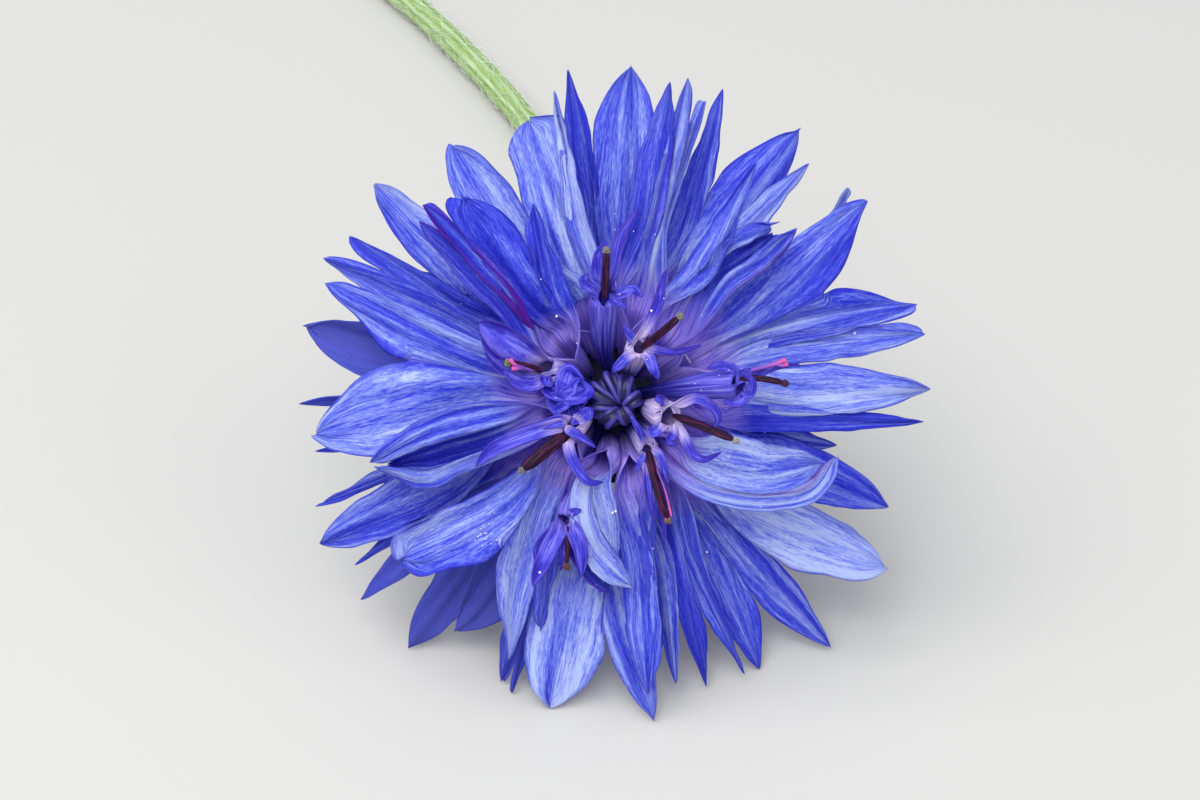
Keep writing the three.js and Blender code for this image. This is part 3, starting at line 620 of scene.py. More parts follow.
# Each floret: the side of the middle that it rises from, where its tube bends and ends, the radius of its
# mouth, how pale the mouth is, and its lobes, from the inner side round the clockwise side and back.
DISC_FLORETS = [
    (97, (-0.9, 3.4, -1.2), (-0.7, 6.9, 2.5), 0.95, 0.1, [
        disc_lobe(0.8, (0.1, 6.7, 3), (0.8, 6.2, 3.1), violet=0.1),
        disc_lobe(0.9, (0.5, 7.2, 3.1), (1.3, 7.4, 3.3), (1.9, 6.9, 3.2), violet=0.1),
        disc_lobe(0.9, (-0.1, 8.6, 3.4), (0.3, 10.6, 3.6), (0.8, 11.7, 3.6), (1.6, 12.8, 3.3), violet=0.9),
        disc_lobe(0.9, (-1.1, 8.6, 3.4), (-1, 9.8, 3.7), (-0.4, 10.7, 3.9), violet=0.5, roll=(1.6, 0.5)),
        disc_lobe(1.1, (-1.4, 7.5, 3.1), (-2, 8, 3.4), (-1.8, 8.5, 3.5))]),
    (56, (1.2, 2.2, -1), (1.6, 3.6, 1.8), 0.8, 1, [
        disc_lobe(0.8, (0.9, 2.9, 2.3), (0.2, 2.2, 2.3), (-0.1, 1.9, 2), violet=0.1, roll=(0.4, 0.4)),
        disc_lobe(0.9, (2.3, 3, 2.4), (2.7, 2, 2.5), (3, 1.4, 2.2), violet=0.1, roll=(0.5, 0.5)),
        disc_lobe(0.7, (2.7, 3.4, 2.5), (4.1, 3.2, 2.8), (5.9, 3.7, 2.8), violet=0.9, roll=(1.2, 0.5)),
        disc_lobe(0.9, (2.1, 4.6, 2.6), (3, 6.6, 3), (3.2, 7.6, 3.2), (3.5, 8.8, 3.1), violet=0.9,
                  roll=(1.2, 0.6)),
        disc_lobe(0.7, (1.1, 4.3, 2.4), (0.7, 5.1, 2.5))]),
    (16, (4, 0.8, 1.6), (8.2, 1.1, 3.7), 0.95, 0.1, [
        disc_lobe(0.8, (8.8, 1.8, 4.4), (9.4, 1.9, 4.3), violet=0.2),
        disc_lobe(0.9, (8.7, 0.2, 4.2), (8, -0.2, 4.5), (7.3, 0, 4.4), violet=0.8),
        disc_lobe(0.8, (9, 0.4, 4.3), (9.2, 1.2, 4.6), (8.7, 1.9, 4.7), violet=0.7),
        disc_lobe(0.7, (9.4, 1.6, 4.2), (10.4, 2.1, 4.3), (12.4, 2.4, 4), violet=0.9),
        disc_lobe(0.8, (8, 2, 4.2), (7, 2.3, 4.4), (6.2, 2.1, 4.3), violet=0.2)]),
    (340, (2.4, -0.4, -0.6), (3.6, -1.1, 2.2), 1, 1, [
        disc_lobe(0.7, (3.3, -0.1, 3), (2.9, 0.1, 3.4), (3.4, -0.4, 3.6), violet=0.9),
        disc_lobe(0.9, (3, -1.9, 2.9), (2.6, -2.2, 3.2), (2.2, -1.9, 3.1), violet=0.1),
        disc_lobe(0.7, (4, -2.2, 3), (3.7, -2.8, 3.4), (4.2, -3, 3.4), violet=0.9),
        disc_lobe(0.8, (4.6, -2.3, 3), (5.2, -3.5, 3.4), (6, -4, 3.6), (7.2, -3.5, 3.5), violet=0.75),
        disc_lobe(0.8, (4.5, -0.3, 3), (5.5, 0.1, 3.6), (6.6, -0.5, 3.9), (7, -1.3, 3.8), (6.5, -2, 3.6),
                  violet=0.6)]),
    (296, (1.6, -2.2, -1.4), (2.3, -3.3, 1.2), 0.7, 0.8, [
        disc_lobe(0.6, (2, -2.6, 1.9), (1.5, -1.7, 2.4), (1.1, -1.1, 2.5), violet=0, roll=(0.9, 0.9)),
        disc_lobe(0.6, (1.9, -4, 1.8), (1.4, -4.8, 2), violet=0.2),
        disc_lobe(0.7, (2.2, -4.8, 2), (2.4, -6.8, 2.2), (2.8, -8.4, 2.1), violet=0.8, roll=(1.2, 0.4)),
        disc_lobe(0.8, (2.9, -4.6, 1.7), (3.2, -6.8, 1.7), (3.5, -9.5, 1.5), violet=0.8),
        disc_lobe(0.7, (3, -3.6, 2), (3.4, -4.6, 2.3), (3.6, -5.6, 2.2))]),
    (214, (-2, -1.1, -0.6), (-2.8, -1.8, 2.1), 0.85, 1, [
        disc_lobe(1, (-2.2, -1.2, 2.8), (-1.7, -0.8, 3), (-1.6, -1.4, 3.2), violet=0.1),
        disc_lobe(1.2, (-3.6, -1.7, 2.8), (-6, -2.4, 3.5), (-8.1, -3.3, 3.6), (-9.3, -4.5, 3.3), violet=0.4,
                  widest=0.6),
        disc_lobe(1, (-3.4, -1.4, 2.8), (-4.5, -1.6, 3.2), (-6.4, -2.2, 3.3), violet=0.4),
        disc_lobe(0.9, (-3.1, -2.9, 2.9), (-2.6, -4.4, 3.3), (-1.7, -5.5, 3.3), (-0.7, -5.5, 3), violet=0.55),
        disc_lobe(0.8, (-3, -2, 3.1), (-2.2, -2.5, 3.4), (-1.2, -3.2, 3.1), violet=0.7)]),
    (178, (-2.2, 0.3, -0.4), (-3, 0.5, 0.8), 1.05, 0, [
        disc_lobe(1.9, (-2.1, 0.8, 1.9), (-2.7, 0.4, 2.8), (-3.6, 0.2, 2.8), violet=0.1, end=0.6),
        disc_lobe(1.9, (-2.9, 1.7, 1.8), (-3.2, 1, 2.7), (-3, 0.1, 2.9), violet=0.1, end=0.6),
        disc_lobe(1.8, (-4.2, 1, 1.8), (-3.7, 0.6, 2.6), (-2.8, 0.4, 2.8), violet=0.1, end=0.6),
        disc_lobe(1.8, (-4, -0.2, 1.8), (-3.5, 0, 2.7), (-2.8, 0.5, 2.8), violet=0.1, end=0.6),
        disc_lobe(1.4, (-2.6, -0.6, 1.8), (-2.5, -1.2, 2.4), (-2.9, -1.6, 2.8), violet=0.1)]),
    (148, (-3, 1.6, -0.4), (-4.6, 1.9, 1.6), 1, 0.6, [
        disc_lobe(1, (-4.6, 1.4, 2.4), (-4.2, 0.9, 2.8), violet=0.2),
        disc_lobe(2.8, (-5.6, 3, 2.6), (-7.3, 4.2, 3.2), (-9.1, 5.2, 3), violet=0.8, widest=0.6,
                  roll=(1.8, 0.3), end=0.3),
        disc_lobe(2.2, (-6, 2.4, 2.4), (-7.6, 3.4, 2.6), (-8.9, 4.4, 2.6), violet=0.5, widest=0.6, end=0.3),
        disc_lobe(1.6, (-5.8, 1.8, 2.4), (-7.4, 2.2, 2.6), (-8.7, 3.2, 2.6), violet=0.7, widest=0.5,
                  roll=(0.4, 1.4)),
        disc_lobe(1.2, (-5.2, 1.2, 2.6), (-6.4, 1.2, 2.9), (-7.4, 2, 2.9), violet=0.5, widest=0.5)]),
    (245, (-2.4, -4.6, -0.4), (-3.2, -8, 1.6), 0.7, 0.2, [
        disc_lobe(0.7, (-2.8, -7.6, 2), (-2.2, -7.4, 2.2)),
        disc_lobe(1.4, (-3.8, -9, 2.2), (-4.7, -10.8, 2.7), (-5.5, -12.6, 2.4), violet=0.6, widest=0.55,
                  roll=(0.4, 1.2)),
        disc_lobe(1.2, (-4, -8.8, 2), (-5, -10.2, 2.2), (-4.6, -11.8, 2), widest=0.55),
        disc_lobe(0.9, (-3.2, -9, 2), (-3.4, -10.4, 2.1), (-3.6, -11.6, 1.8), violet=0.4),
        disc_lobe(1.3, (-2.8, -8.8, 2.2), (-2.3, -10, 2.5), (-2.2, -12, 2.2), violet=0.6, widest=0.55,
                  roll=(1.2, 0.4))]),
]

# The same silky tissue as the rays: blue-violet and streaked along the tube, pinkish white in the mouth where
# it is thinnest, and deep violet towards the tips of the lobes.
disc_tissue, tree = new_material("disc_corolla_tissue_violet")
uv = add(tree, "UVMap", uv_map="lobe")
_, place_y, _ = add(tree, "SeparateXYZ", [uv]).outputs
tissue = add(tree, "Attribute", attribute_name="tissue")
pale, violet, _ = add(tree, "SeparateColor", [tissue]).outputs
streaked = streaks(tree, uv, 5, 3, 4, 0.65, 0.3)
blues = add(tree, "ValToRGB", [streaked], ((0.36, "#2217a6"), (0.5, "#3b36cc"), (0.66, "#7976e8")))
pinks = add(tree, "ValToRGB", [streaked], ((0.38, "#9a82cc"), (0.6, "#e2cfee")))
mouth_in = add(tree, "MapRange", [place_y, -0.45, -0.05])
mouth_out = add(tree, "MapRange", [place_y, 0.42, 0.2])
mouth = add(tree, "Math", [mouth_in, mouth_out], operation="MULTIPLY")
mouth_share = add(tree, "Math", [mouth, pale], operation="MULTIPLY")
mouthed = add(tree, "MixRGB", [mouth_share, blues, pinks])
tip_share = add(tree, "MapRange", [place_y, 0.1, 0.6])
violet_share = add(tree, "Math", [tip_share, violet], operation="MULTIPLY")
colour = add(tree, "MixRGB", [violet_share, mouthed, "#3a149a"])
cover(tree, colour, 0.45, shine=0.4, bumps=streaked, height=0.15, through=0.25)

for number, (side, bend, mouth_at, mouth_radius, pale, lobes) in enumerate(DISC_FLORETS, 1):
    blades = []
    for way, form in lobes:
        form["pale"] = 2 * pale - 1
        blades.append((Route([mouth_at, *way]), form))
    tube = Path(polar(side, *DISC_ROOT), Vector(bend), Vector(mouth_at))
    bm = corolla(tube, (DISC_TUBE_RADIUS, mouth_radius), DISC_OPENING, blades, DISC_ROWS, DISC_COLUMNS,
                 DISC_SLITS, DISC_SLIT_HOLD, settled=DISC_SETTLED, ribs=DISC_RIBS)
    floret = finish_fine("disc_floret", number, bm, disc_tissue, "disc_corolla")
    thicken(floret, DISC_TISSUE)
    soften(floret)

# Anther tubes: the five anthers of a floret, grown together into a dark waxy tube with a seam between each
# two. Pollen is pushed out at its tip, and in some florets the pink style has followed it.
ANTHER_RADIUS = 0.29
ANTHER_PROFILE = ((0, 0), (0.04, 0.7), (0.2, 1), (0.85, 0.95), (0.96, 0.6), (1, 0))
ANTHER_MESH = (20, 24)
ANTHER_SEAMS = (5, 0.25)
POLLEN_CLOT = 0.23
CLOT_LUMPS = 2.3
CLOT_CRUMBS = 6
CRUMB_HEIGHT = 0.6
CLOT_RELIEF = 0.6
ANTHERS = [
    (1, (-0.6, 6.8, 3), (-0.6, 8.4, 4), (-0.5, 10, 4.2), 0.9, "#8d8a80"),
    (2, (1.8, 3.5, 2), (3, 4.3, 3.6), (4.4, 5.6, 4.2), 1, "#8f9080"),
    (3, (8.3, 1.4, 4), (9.8, 1.6, 4.7), (11.4, 1.1, 4.4), 0.8, "#3a1836"),
    (4, (3.9, -1, 2.6), (5.8, -1.7, 4.4), (8.1, -2.7, 4.6), 1.05, "#b5b3b4"),
    (5, (2.3, -3.4, 1.4), (2.7, -5.6, 2.9), (3.6, -8.1, 2.7), 1.1, "#8a6a62"),
    (6, (-3, -2.1, 2.4), (-4.2, -3.1, 3.4), (-6.2, -4.7, 3.3), 1.6, "#8a8488"),
    (8, (-4.8, 1.9, 2.4), (-5.8, 2.4, 3.4), (-7.1, 2.5, 3.6), 0.8, "#8a8c5e"),
    (9, (-3.2, -8.2, 1.8), (-3.1, -9.6, 2.8), (-3.2, -11.2, 2.8), 0.6, "#6a3e3a"),
]


def rod(route, stations, mesh_size, furrows=(0, 0)):
    """A round rod along a route. Stations are pairs of a share of its length and its radius there. mesh_size
    counts its sides and rows, and furrows says how many it has and how deep they are. UV: round and along."""
    sides, rows = mesh_size
    ribs, depth = furrows
    bm = bmesh.new()
    bmesh.ops.create_grid(bm, x_segments=sides, y_segments=rows, size=0.5)
    bmesh.ops.translate(bm, vec=(0.5, 0.5, 0), verts=bm.verts)
    uv = bm.loops.layers.uv.new("lobe")
    for f in bm.faces:
        for loop in f.loops:
            loop[uv].uv = loop.vert.co.xy
    side = route.heading(0).orthogonal().normalized()
    sides_at = []
    for row in range(rows + 1):
        along = route.heading(row / rows)
        side = (side - along * side.dot(along)).normalized()
        sides_at.append((side, along.cross(side)))
    for v in bm.verts:
        share, turn = v.co.y, 2 * math.pi * v.co.x
        below = max(i for i, (at, _) in enumerate(stations[:-1]) if at <= share + 1e-6)
        (a, low_radius), (b, high_radius) = stations[below], stations[below + 1]
        cut = 1 - depth * math.sin(ribs * turn / 2) ** 8
        radius = lerp(low_radius, high_radius, (share - a) / (b - a)) * cut
        x, y = sides_at[round(share * rows)]
        v.co = route.at(share) + (x * math.cos(turn) + y * math.sin(turn)) * radius
    bmesh.ops.remove_doubles(bm, verts=bm.verts, dist=WELD)
    bmesh.ops.recalc_face_normals(bm, faces=bm.faces)
    return bm


# Waxy plant tissue, nearly black, with fine maroon streaks along it.
waxy, tree = new_material("anther_tissue_maroon_waxy")
uv = add(tree, "UVMap", uv_map="lobe")
streaked = streaks(tree, uv, 9, 3, 3)
tones = add(tree, "ValToRGB", [streaked], ((0.45, "#14031a"), (0.8, "#5e1a4e")))
cover(tree, tones, 0.5, shine=0.15, bumps=streaked, height=0.1)

for number, start, bend, tip, size, dust in ANTHERS:
    route = Path(*(Vector(point) for point in (start, bend, tip)))
    stations = [(at, share * ANTHER_RADIUS * size) for at, share in ANTHER_PROFILE]
    bm = rod(route, stations, ANTHER_MESH, ANTHER_SEAMS)
    soften(finish_fine("anther_tube", number, bm, waxy, "anther"))

    # Pollen, a loose powder, as a lumpy clot on the tip: grey, olive or brown, and dark purple on one tube.
    powder, tree = new_material(f"pollen_powder_{number:02d}")
    where = add(tree, "TexCoord")
    clots = add(tree, "TexNoise", {"Vector": where.outputs["Object"], "Scale": 6000, "Detail": 2})
    tones = add(tree, "MixRGB", [clots, "#2e2430", dust])
    cover(tree, tones, 0.95)
    bm = bmesh.new()
    bmesh.ops.create_icosphere(bm, subdivisions=4, radius=1)
    for v in bm.verts:
        lumps = noise.noise(v.co * CLOT_LUMPS + Vector((number, 0, 0)))
        lumps += CRUMB_HEIGHT * noise.noise(v.co * CLOT_CRUMBS)
        v.co = Vector(tip) + v.co * POLLEN_CLOT * (1 + CLOT_RELIEF * lumps)
    finish_piece(f"pollen_tip_{number:02d}", bm, HEAD, powder, "anther")

# Styles: slender fleshy rods, mauve below and pink at their forked ends, that have grown through the anthers.
STYLE_PROFILE = ((0, 0), (0.05, 1), (0.8, 1), (0.93, 1.5), (1, 0))
STYLE_MESH = (10, 16)
STYLES = [
    ("3a", [(8.4, 1.8, 4), (10, 2.2, 4.7), (11, 2.5, 4.8), (11.5, 2.7, 4.9)], 0.15),
    ("3b", [(10.6, 2.4, 4.7), (11.2, 2.3, 4.9), (11.6, 2.4, 4.8)], 0.12),
    ("8a", [(-5, 2, 2.6), (-6.3, 2.2, 3.6), (-6.7, 2.4, 3.9), (-7, 2.8, 3.9)], 0.14),
    ("8b", [(-6, 2.2, 3.4), (-6.5, 2.1, 3.9), (-6.9, 2.1, 3.9)], 0.14),
    ("5a", [(2.6, -4, 1.8), (3.4, -6, 2.8), (3.9, -8, 2.7)], 0.07),
]

flesh, tree = new_material("style_flesh_pink")
uv = add(tree, "UVMap", uv_map="lobe")
_, place_y, _ = add(tree, "SeparateXYZ", [uv]).outputs
tones = add(tree, "ValToRGB", [place_y], ((0.35, "#6a3a9e"), (0.9, "#c4458c")))
cover(tree, tones, 0.5)

for name, way, radius in STYLES:
    bm = rod(Route(way), [(at, share * radius) for at, share in STYLE_PROFILE], STYLE_MESH)
    soften(finish_piece(f"style_{name}", bm, HEAD, flesh, "anther"))

# Buds: inner florets still closed, dark fleshy clubs with a furrow between each two of their folded lobes.
# They stand close together and lean in to one point just off the middle of the face.
BUD_COUNT = 7
BUD_POINT = (0.5, -0.5, -0.9)
BUD_POINT_RADIUS = 0.14
BUD_WAY = ((0.86, -9.7), (1, -5), (1.5, -2), (1.15, -0.7))
BUD_PROFILE = [(0, 0), (0.03, 0.3), (0.4, 0.38), (0.7, 0.8), (0.9, 0.56), (0.97, 0.3), (1, 0)]
BUD_MESH = (30, 40)
BUD_FURROWS = (5, 0.3)


def in_furrows(tree, uv, count):
    """1 in the middle of each of the furrows that run along a rod, and 0 on the ribs between them."""
    place_x, _, _ = add(tree, "SeparateXYZ", [uv]).outputs
    turns = add(tree, "Math", [place_x, count * math.pi], operation="MULTIPLY")
    swing = add(tree, "Math", [turns], operation="SINE")
    return add(tree, "Math", [swing], operation="ABSOLUTE")


# Thick skin, dark indigo with a dull sheen, streaked lengthwise, with painted shade that makes it darkest in
# the furrows.
bud_skin, tree = new_material("bud_skin_indigo")
uv = add(tree, "UVMap", uv_map="lobe")
furrowed = in_furrows(tree, uv, BUD_FURROWS[0])
streaked = streaks(tree, uv, 16, 6, 3, 0.5)
tone = add(tree, "Math", [streaked, -0.9, 1.2], operation="MULTIPLY_ADD")
shade = add(tree, "Math", [tone, furrowed], operation="SUBTRACT")
tones = add(tree, "ValToRGB", [shade], ((0, "#140b46"), (0.75, "#4742a4")))
cover(tree, tones, 0.45)

for i in range(BUD_COUNT):
    turn = 360 * i / BUD_COUNT
    tip = Vector(BUD_POINT) + polar(turn, BUD_POINT_RADIUS, 0)
    way = [polar(turn, *spot) for spot in BUD_WAY] + [tip]
    bm = rod(Route(way), BUD_PROFILE, BUD_MESH, BUD_FURROWS)
    soften(finish_fine("central_bud", i + 1, bm, bud_skin, "bud"))

# Pollen clumps: loose white pollen that has fallen on the petals and lies against the tissue. A single grain
# is a fifth to half as wide as these, so each of them is a few grains that show.
POLLEN_CLUMPS = [(2.5, 6), (-3.9, 5.7), (-2.5, 3.9), (-0.1, -7.6), (0.1, -7.5), (16.6, 4.6), (6.5, -10.6),
                 (-5, -11.6), (3.7, -7.5), (1.2, 1.3), (5, 3.1), (5.1, 2.95), (5.2, 2.8), (5.3, 2.65)]
POLLEN_PATCHES = [(-8.8, -9.2), (-5.9, -4.4)]
POLLEN_SIZE = 0.085
LOOSE_SIZE = 0.5
PATCH_SPREAD = (0.55, 0.35)
PATCH_GRAINS = 18
STRAY_REACH = (3, 13)
STRAY_GRAINS = 40
DROPPED_FROM = 12

florets = [piece for piece in bpy.context.scene.objects if "floret_fine" in piece.name]
vertices, faces = [], []
for piece in florets:
    faces += [[len(vertices) + i for i in polygon.vertices] for polygon in piece.data.polygons]
    vertices += [v.co.copy() for v in piece.data.vertices]
tissue_surface = bvhtree.BVHTree.FromPolygons(vertices, faces)

pollen, tree = new_material("pollen_grains_white")
where = add(tree, "TexCoord")
cells = add(tree, "TexNoise", {"Vector": where.outputs["Object"], "Scale": 9000})
tones = add(tree, "MixRGB", [cells, "#c6c0cf", "#fbf8f4"])
cover(tree, tones, 0.9)

random.seed(4)
clumps = [(*spot, 1) for spot in POLLEN_CLUMPS]
for x, y in POLLEN_PATCHES:
    clumps += [(random.gauss(x, PATCH_SPREAD[0]), random.gauss(y, PATCH_SPREAD[1]), LOOSE_SIZE)
               for _ in range(PATCH_GRAINS)]
clumps += [(*polar(random.uniform(0, 360), random.uniform(*STRAY_REACH), 0).xy, LOOSE_SIZE)
           for _ in range(STRAY_GRAINS)]
bm = bmesh.new()
for x, y, size in clumps:
    landed = tissue_surface.ray_cast(HEAD @ Vector((x, y, DROPPED_FROM)), -HEAD_AXIS)[0]
    if landed:
        place = Matrix.Translation(landed + HEAD_AXIS * (PETAL_THICKNESS / 2 + 0.5 * POLLEN_SIZE * size) * MM)
        bmesh.ops.create_icosphere(bm, subdivisions=2, radius=POLLEN_SIZE * size * MM, matrix=place)
finish_piece("pollen_clumps", bm, Matrix(), pollen, "anther")

# Involucre: the green cup round the receptacle, of leafy bracts that overlap like tiles in four rows. Each is
# an ovate scale with fine ribs, hugging the cup, with a dark brown fringe of teeth round its upper half.
INVOLUCRE = [(-23, 2.1), (-21.5, 3.6), (-18.5, 4.7), (-15, 5), (-11, 4.75), (-9, 4.7)]
BRACT_ROWS = [(-22.6, -18.6, 1.26), (-21, -15.6, 0.84), (-18.6, -12.8, 0.44), (-16, -10.2, 0.04)]
BRACTS_IN_ROW = 9
BRACT_THICKNESS = 0.16
BRACT_WIDTH = 3.9
BRACT_MESH = (14, 44)
BRACT_WIDEST = 0.42
BRACT_FOOT = -0.25
BRACT_TAPER = 1.9
BRACT_LEAST = 0.02
BRACT_LIFT = 0.35
BRACT_CUPPED = 0.12
BRACT_BUMPS = (3, 4)
BUMP_HEIGHT = 0.04
AT_EDGE = 0.99
FRINGE_FROM = 0.35
FRINGE_TOOTH = (0.42, 0.18)
TIP_TOOTH = 0.03


def involucre_radius(depth):
    for (low_at, low_radius), (high_at, high_radius) in zip(INVOLUCRE, INVOLUCRE[1:]):
        if depth <= high_at or high_at == INVOLUCRE[-1][0]:
            return lerp(low_radius, high_radius, min(max((depth - low_at) / (high_at - low_at), 0), 1))


def bract(bm, uv, turn, foot, tip, proud):
    """Adds one scale whose middle stands at a turn round the cup. UV: across it and along it."""
    columns, rows = BRACT_MESH
    grown = bmesh.ops.create_grid(bm, x_segments=columns, y_segments=rows, size=0.5)["verts"]
    for f in {f for v in grown for f in v.link_faces}:
        for loop in f.loops:
            loop[uv].uv = (loop.vert.co.x + 0.5, loop.vert.co.y + 0.5)
    for v in grown:
        x, share = 2 * v.co.x, v.co.y + 0.5
        upper = max((share - BRACT_WIDEST) / (1 - BRACT_WIDEST), 0)
        tapered = math.sqrt(max(1 - upper ** BRACT_TAPER, BRACT_LEAST ** 2))
        toothed = abs(x) > AT_EDGE and share > FRINGE_FROM and round(share * rows) % 2
        aside, onward = FRINGE_TOOTH if toothed else (0, 0)
        half = 0.5 * BRACT_WIDTH * smooth_step(BRACT_FOOT, BRACT_WIDEST, share) * tapered + aside
        depth = lerp(foot, tip, share + (TIP_TOOTH if share > AT_EDGE else 0)) + onward
        bumps = BUMP_HEIGHT * noise.noise(Vector((x * BRACT_BUMPS[0], share * BRACT_BUMPS[1], turn)))
        radius = involucre_radius(depth) + proud + BRACT_LIFT * share ** 3 + bumps
        v.co = polar(turn + math.degrees(x * half / radius), radius - BRACT_CUPPED * x * x * share, depth)


# Leafy tissue, matt and dull green, with paler ribs about 0.25 mm apart. The fringe is dry, thin and brown.
leafy, tree = new_material("bract_tissue_green_brown_fringe")
uv = add(tree, "UVMap", uv_map="lobe")
place_x, place_y, _ = add(tree, "SeparateXYZ", [uv]).outputs
ribs = streaks(tree, uv, 16, 2, 3)
greens = add(tree, "ValToRGB", [ribs], ((0.35, "#43562c"), (0.7, "#93a66c")))
aside = add(tree, "Math", [place_x, 0.5], operation="SUBTRACT")
from_middle = add(tree, "Math", [aside], operation="ABSOLUTE")
side_edge = add(tree, "MapRange", [from_middle, 0.34, 0.42])
high_up = add(tree, "MapRange", [place_y, 0.3, 0.5])
side_fringe = add(tree, "Math", [side_edge, high_up], operation="MULTIPLY")
tip_fringe = add(tree, "MapRange", [place_y, 0.88, 0.94])
fringe = add(tree, "Math", [side_fringe, tip_fringe], operation="MAXIMUM")
tones = add(tree, "MixRGB", [fringe, greens, "#2b1712"])
cover(tree, tones, 0.65, bumps=ribs, height=0.2)

for row, (foot, tip, proud) in enumerate(BRACT_ROWS, 1):
    bm = bmesh.new()
    uv = bm.loops.layers.uv.new("lobe")
    for i in range(BRACTS_IN_ROW):
        bract(bm, uv, (2 * i + row % 2) * 180 / BRACTS_IN_ROW, foot, tip, proud)
    bmesh.ops.remove_doubles(bm, verts=bm.verts, dist=WELD)
    thicken(finish_fine("bract_row", row, bm, leafy, "bract"), BRACT_THICKNESS)

# Stem: a slender green stalk with eight blunt ribs and loose white wool, cut square at its end. It leaves the
# receptacle along the axis of the head, turns down to the surface and lies along it.
HEAD_HEIGHT = 19.35
STEM_RADIUS = 1.15
STEM_MESH = (64, 240)
STEM_FURROWS = (8, 0.12)
STEM_CUT = 0.0005
STEM_TOP = -23.2
STEM_TURN = [(0, 22.6, 3.8), (0, 27.5, 2)]
STEM_ON_SURFACE = [(-0.3, 34), (-1.2, 46), (-3.8, 58), (-8, 70), (-13.3, 81), (-18.6, 90.5), (-24.2, 99)]
STEM_PLACE = Matrix.Translation(HEAD_CENTRE) @ Matrix.Scale(MM, 4) @ Matrix.Translation((0, 0, -HEAD_HEIGHT))
STEM_PROFILE = [(0, 0), (STEM_CUT, STEM_RADIUS), (1 - STEM_CUT, STEM_RADIUS), (1, 0)]

stem_top = Vector((0, 0, HEAD_HEIGHT)) + STEM_TOP * HEAD_AXIS
route = Route([stem_top, *STEM_TURN, *((x, y, STEM_RADIUS) for x, y in STEM_ON_SURFACE)])

# Stem tissue, matt green, with paler bloom streaked lengthwise and painted shade that makes the furrows
# darker than the ribs.
stalk, tree = new_material("stem_tissue_green_bloomed")
uv = add(tree, "UVMap", uv_map="lobe")
bloom = streaks(tree, uv, 26, 34, 4, 0.65)
furrowed = in_furrows(tree, uv, STEM_FURROWS[0])
tone = add(tree, "Math", [furrowed, -0.18, bloom], operation="MULTIPLY_ADD")
tones = add(tree, "ValToRGB", [tone], ((0.15, "#6f8e4a"), (0.38, "#8dab66"), (0.6, "#b6c7a0")))
cover(tree, tones, 0.7, bumps=bloom, height=0.2)

bm = rod(route, STEM_PROFILE, STEM_MESH, STEM_FURROWS)
finish_piece("stem_fine", bm, STEM_PLACE, stalk, "stem", ["stem"])

# Wool: fine white hairs that lie loosely along the ribs, drawn thicker than life so that they show.
WOOL_HAIRS = 2600
WOOL_THICKNESS = 0.02
WOOL_LENGTH = (0.8, 2.4)
WOOL_RISE = (0.02, 0.3)
WOOL_SWAY = (-0.7, 0.7)
WOOL_ROOT = 0.97

wool_fibre, tree = new_material("wool_fibre_white")
where = add(tree, "TexCoord")
patches = add(tree, "TexNoise", {"Vector": where.outputs["Object"], "Scale": 300, "Detail": 2})
tones = add(tree, "MixRGB", [patches, "#c9d3b6", "#eff2e6"])
cover(tree, tones, 0.8)

random.seed(11)
bm = bmesh.new()
for _ in range(WOOL_HAIRS):
    share = random.random()
    along = route.heading(share)
    side = along.orthogonal().normalized()
    side.rotate(Matrix.Rotation(random.uniform(0, 2 * math.pi), 3, along))
    lie = along * random.choice((-1, 1)) + side * random.uniform(*WOOL_RISE)
    lie = (lie + along.cross(side) * random.uniform(*WOOL_SWAY)).normalized()
    length = random.uniform(*WOOL_LENGTH)
    middle = route.at(share) + side * (STEM_RADIUS * WOOL_ROOT + WOOL_THICKNESS) + lie * length / 2
    place = Matrix.Translation(middle) @ lie.to_track_quat("Z", "X").to_matrix().to_4x4()
    if middle.z > length / 2 * abs(lie.z) + WOOL_THICKNESS:
        bmesh.ops.create_cone(bm, cap_ends=True, segments=3, depth=length, matrix=place,
                              radius1=WOOL_THICKNESS, radius2=WOOL_THICKNESS / 3)
finish_piece("stem_wool", bm, STEM_PLACE, wool_fibre, "stem")

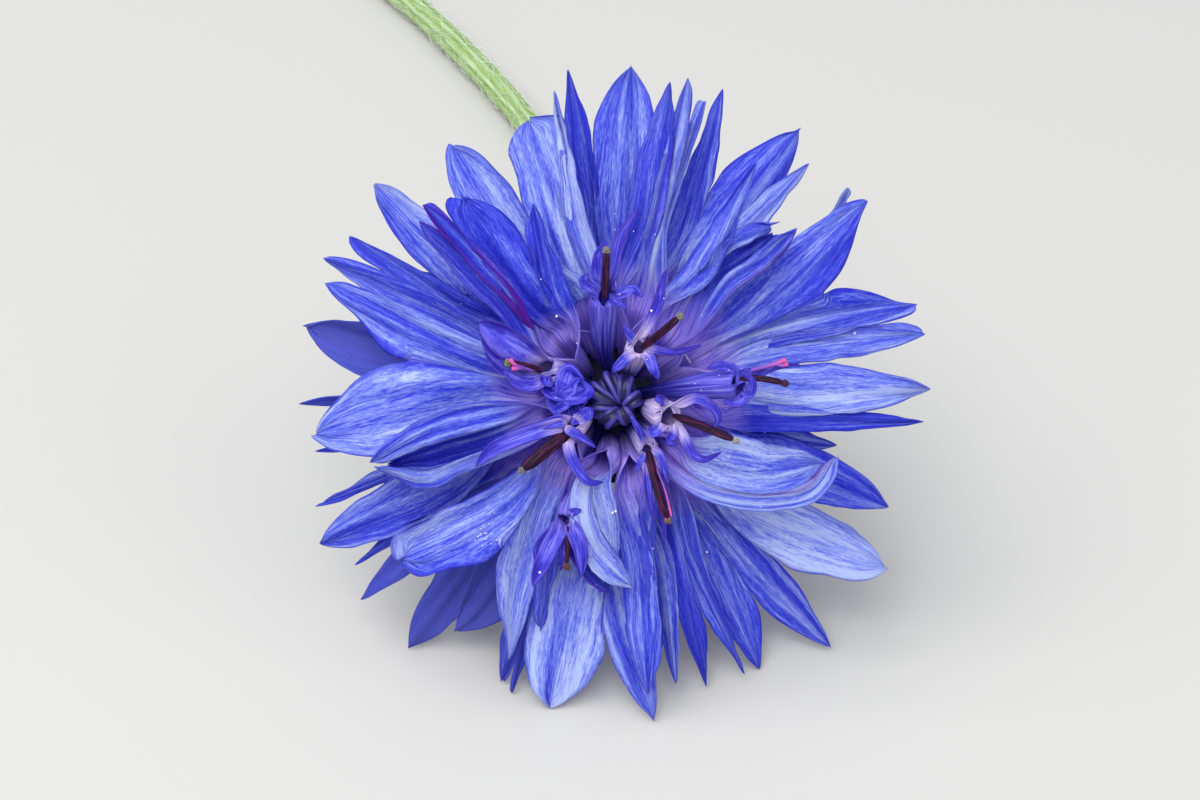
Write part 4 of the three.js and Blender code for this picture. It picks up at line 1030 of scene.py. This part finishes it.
# Set: a plain pale floor, soft light from above and the left, and the camera square to the face.
FLOOR_HALF = 4
SKY_STRENGTH = 0.78
SOFTBOXES = [
    ("key", 0.6, 4, (-0.55, 0.8, 0.75), 0.7),
    ("fill", 0.8, 2, (0.8, 0.2, 0.9), 0.9),
    ("front", 0.5, 5, (-0.1, 0.25, 1), 0.9),
]
CAMERA_AT = (-0.95, 0, 227)
CAMERA_LENS = 100
CAMERA_SENSOR = 36
CAMERA_NEAR = 0.01

bm = bmesh.new()
bmesh.ops.create_grid(bm, x_segments=1, y_segments=1, size=FLOOR_HALF)
mesh = bpy.data.meshes.new("floor")
bm.to_mesh(mesh)
bm.free()
floor = bpy.data.objects.new("floor", mesh)
bpy.context.scene.collection.objects.link(floor)
floor_paint, tree = new_material("floor_paint_pale_matt")
cover(tree, "#b9b7b2", 0.8)
mesh.materials.append(floor_paint)

world = bpy.data.worlds.new("studio")
world.use_nodes = True
sky = world.node_tree.nodes["Background"].inputs
sky["Color"].default_value = paint("#dfe6f2")
sky["Strength"].default_value = SKY_STRENGTH
bpy.context.scene.world = world

# Softboxes: square area lights that shine at the head, each from a direction in the head's own frame.
for name, size, strength, direction, distance in SOFTBOXES:
    data = bpy.data.lights.new(name, "AREA")
    data.size = size
    data.energy = strength
    lamp = bpy.data.objects.new(name, data)
    aim = (HEAD.to_3x3() @ Vector(direction)).normalized()
    lamp.location = HEAD_CENTRE + aim * distance
    lamp.rotation_euler = aim.to_track_quat("Z", "Y").to_euler()
    bpy.context.scene.collection.objects.link(lamp)

camera = bpy.data.objects.new("camera", bpy.data.cameras.new("camera"))
camera.data.lens = CAMERA_LENS
camera.data.sensor_width = CAMERA_SENSOR
camera.data.clip_start = CAMERA_NEAR
camera.location = HEAD @ Vector(CAMERA_AT)
camera.rotation_euler = HEAD_AXIS.to_track_quat("Z", "Y").to_euler()
bpy.context.scene.collection.objects.link(camera)
bpy.context.scene.camera = camera
bpy.context.scene.view_settings.view_transform = "Standard"
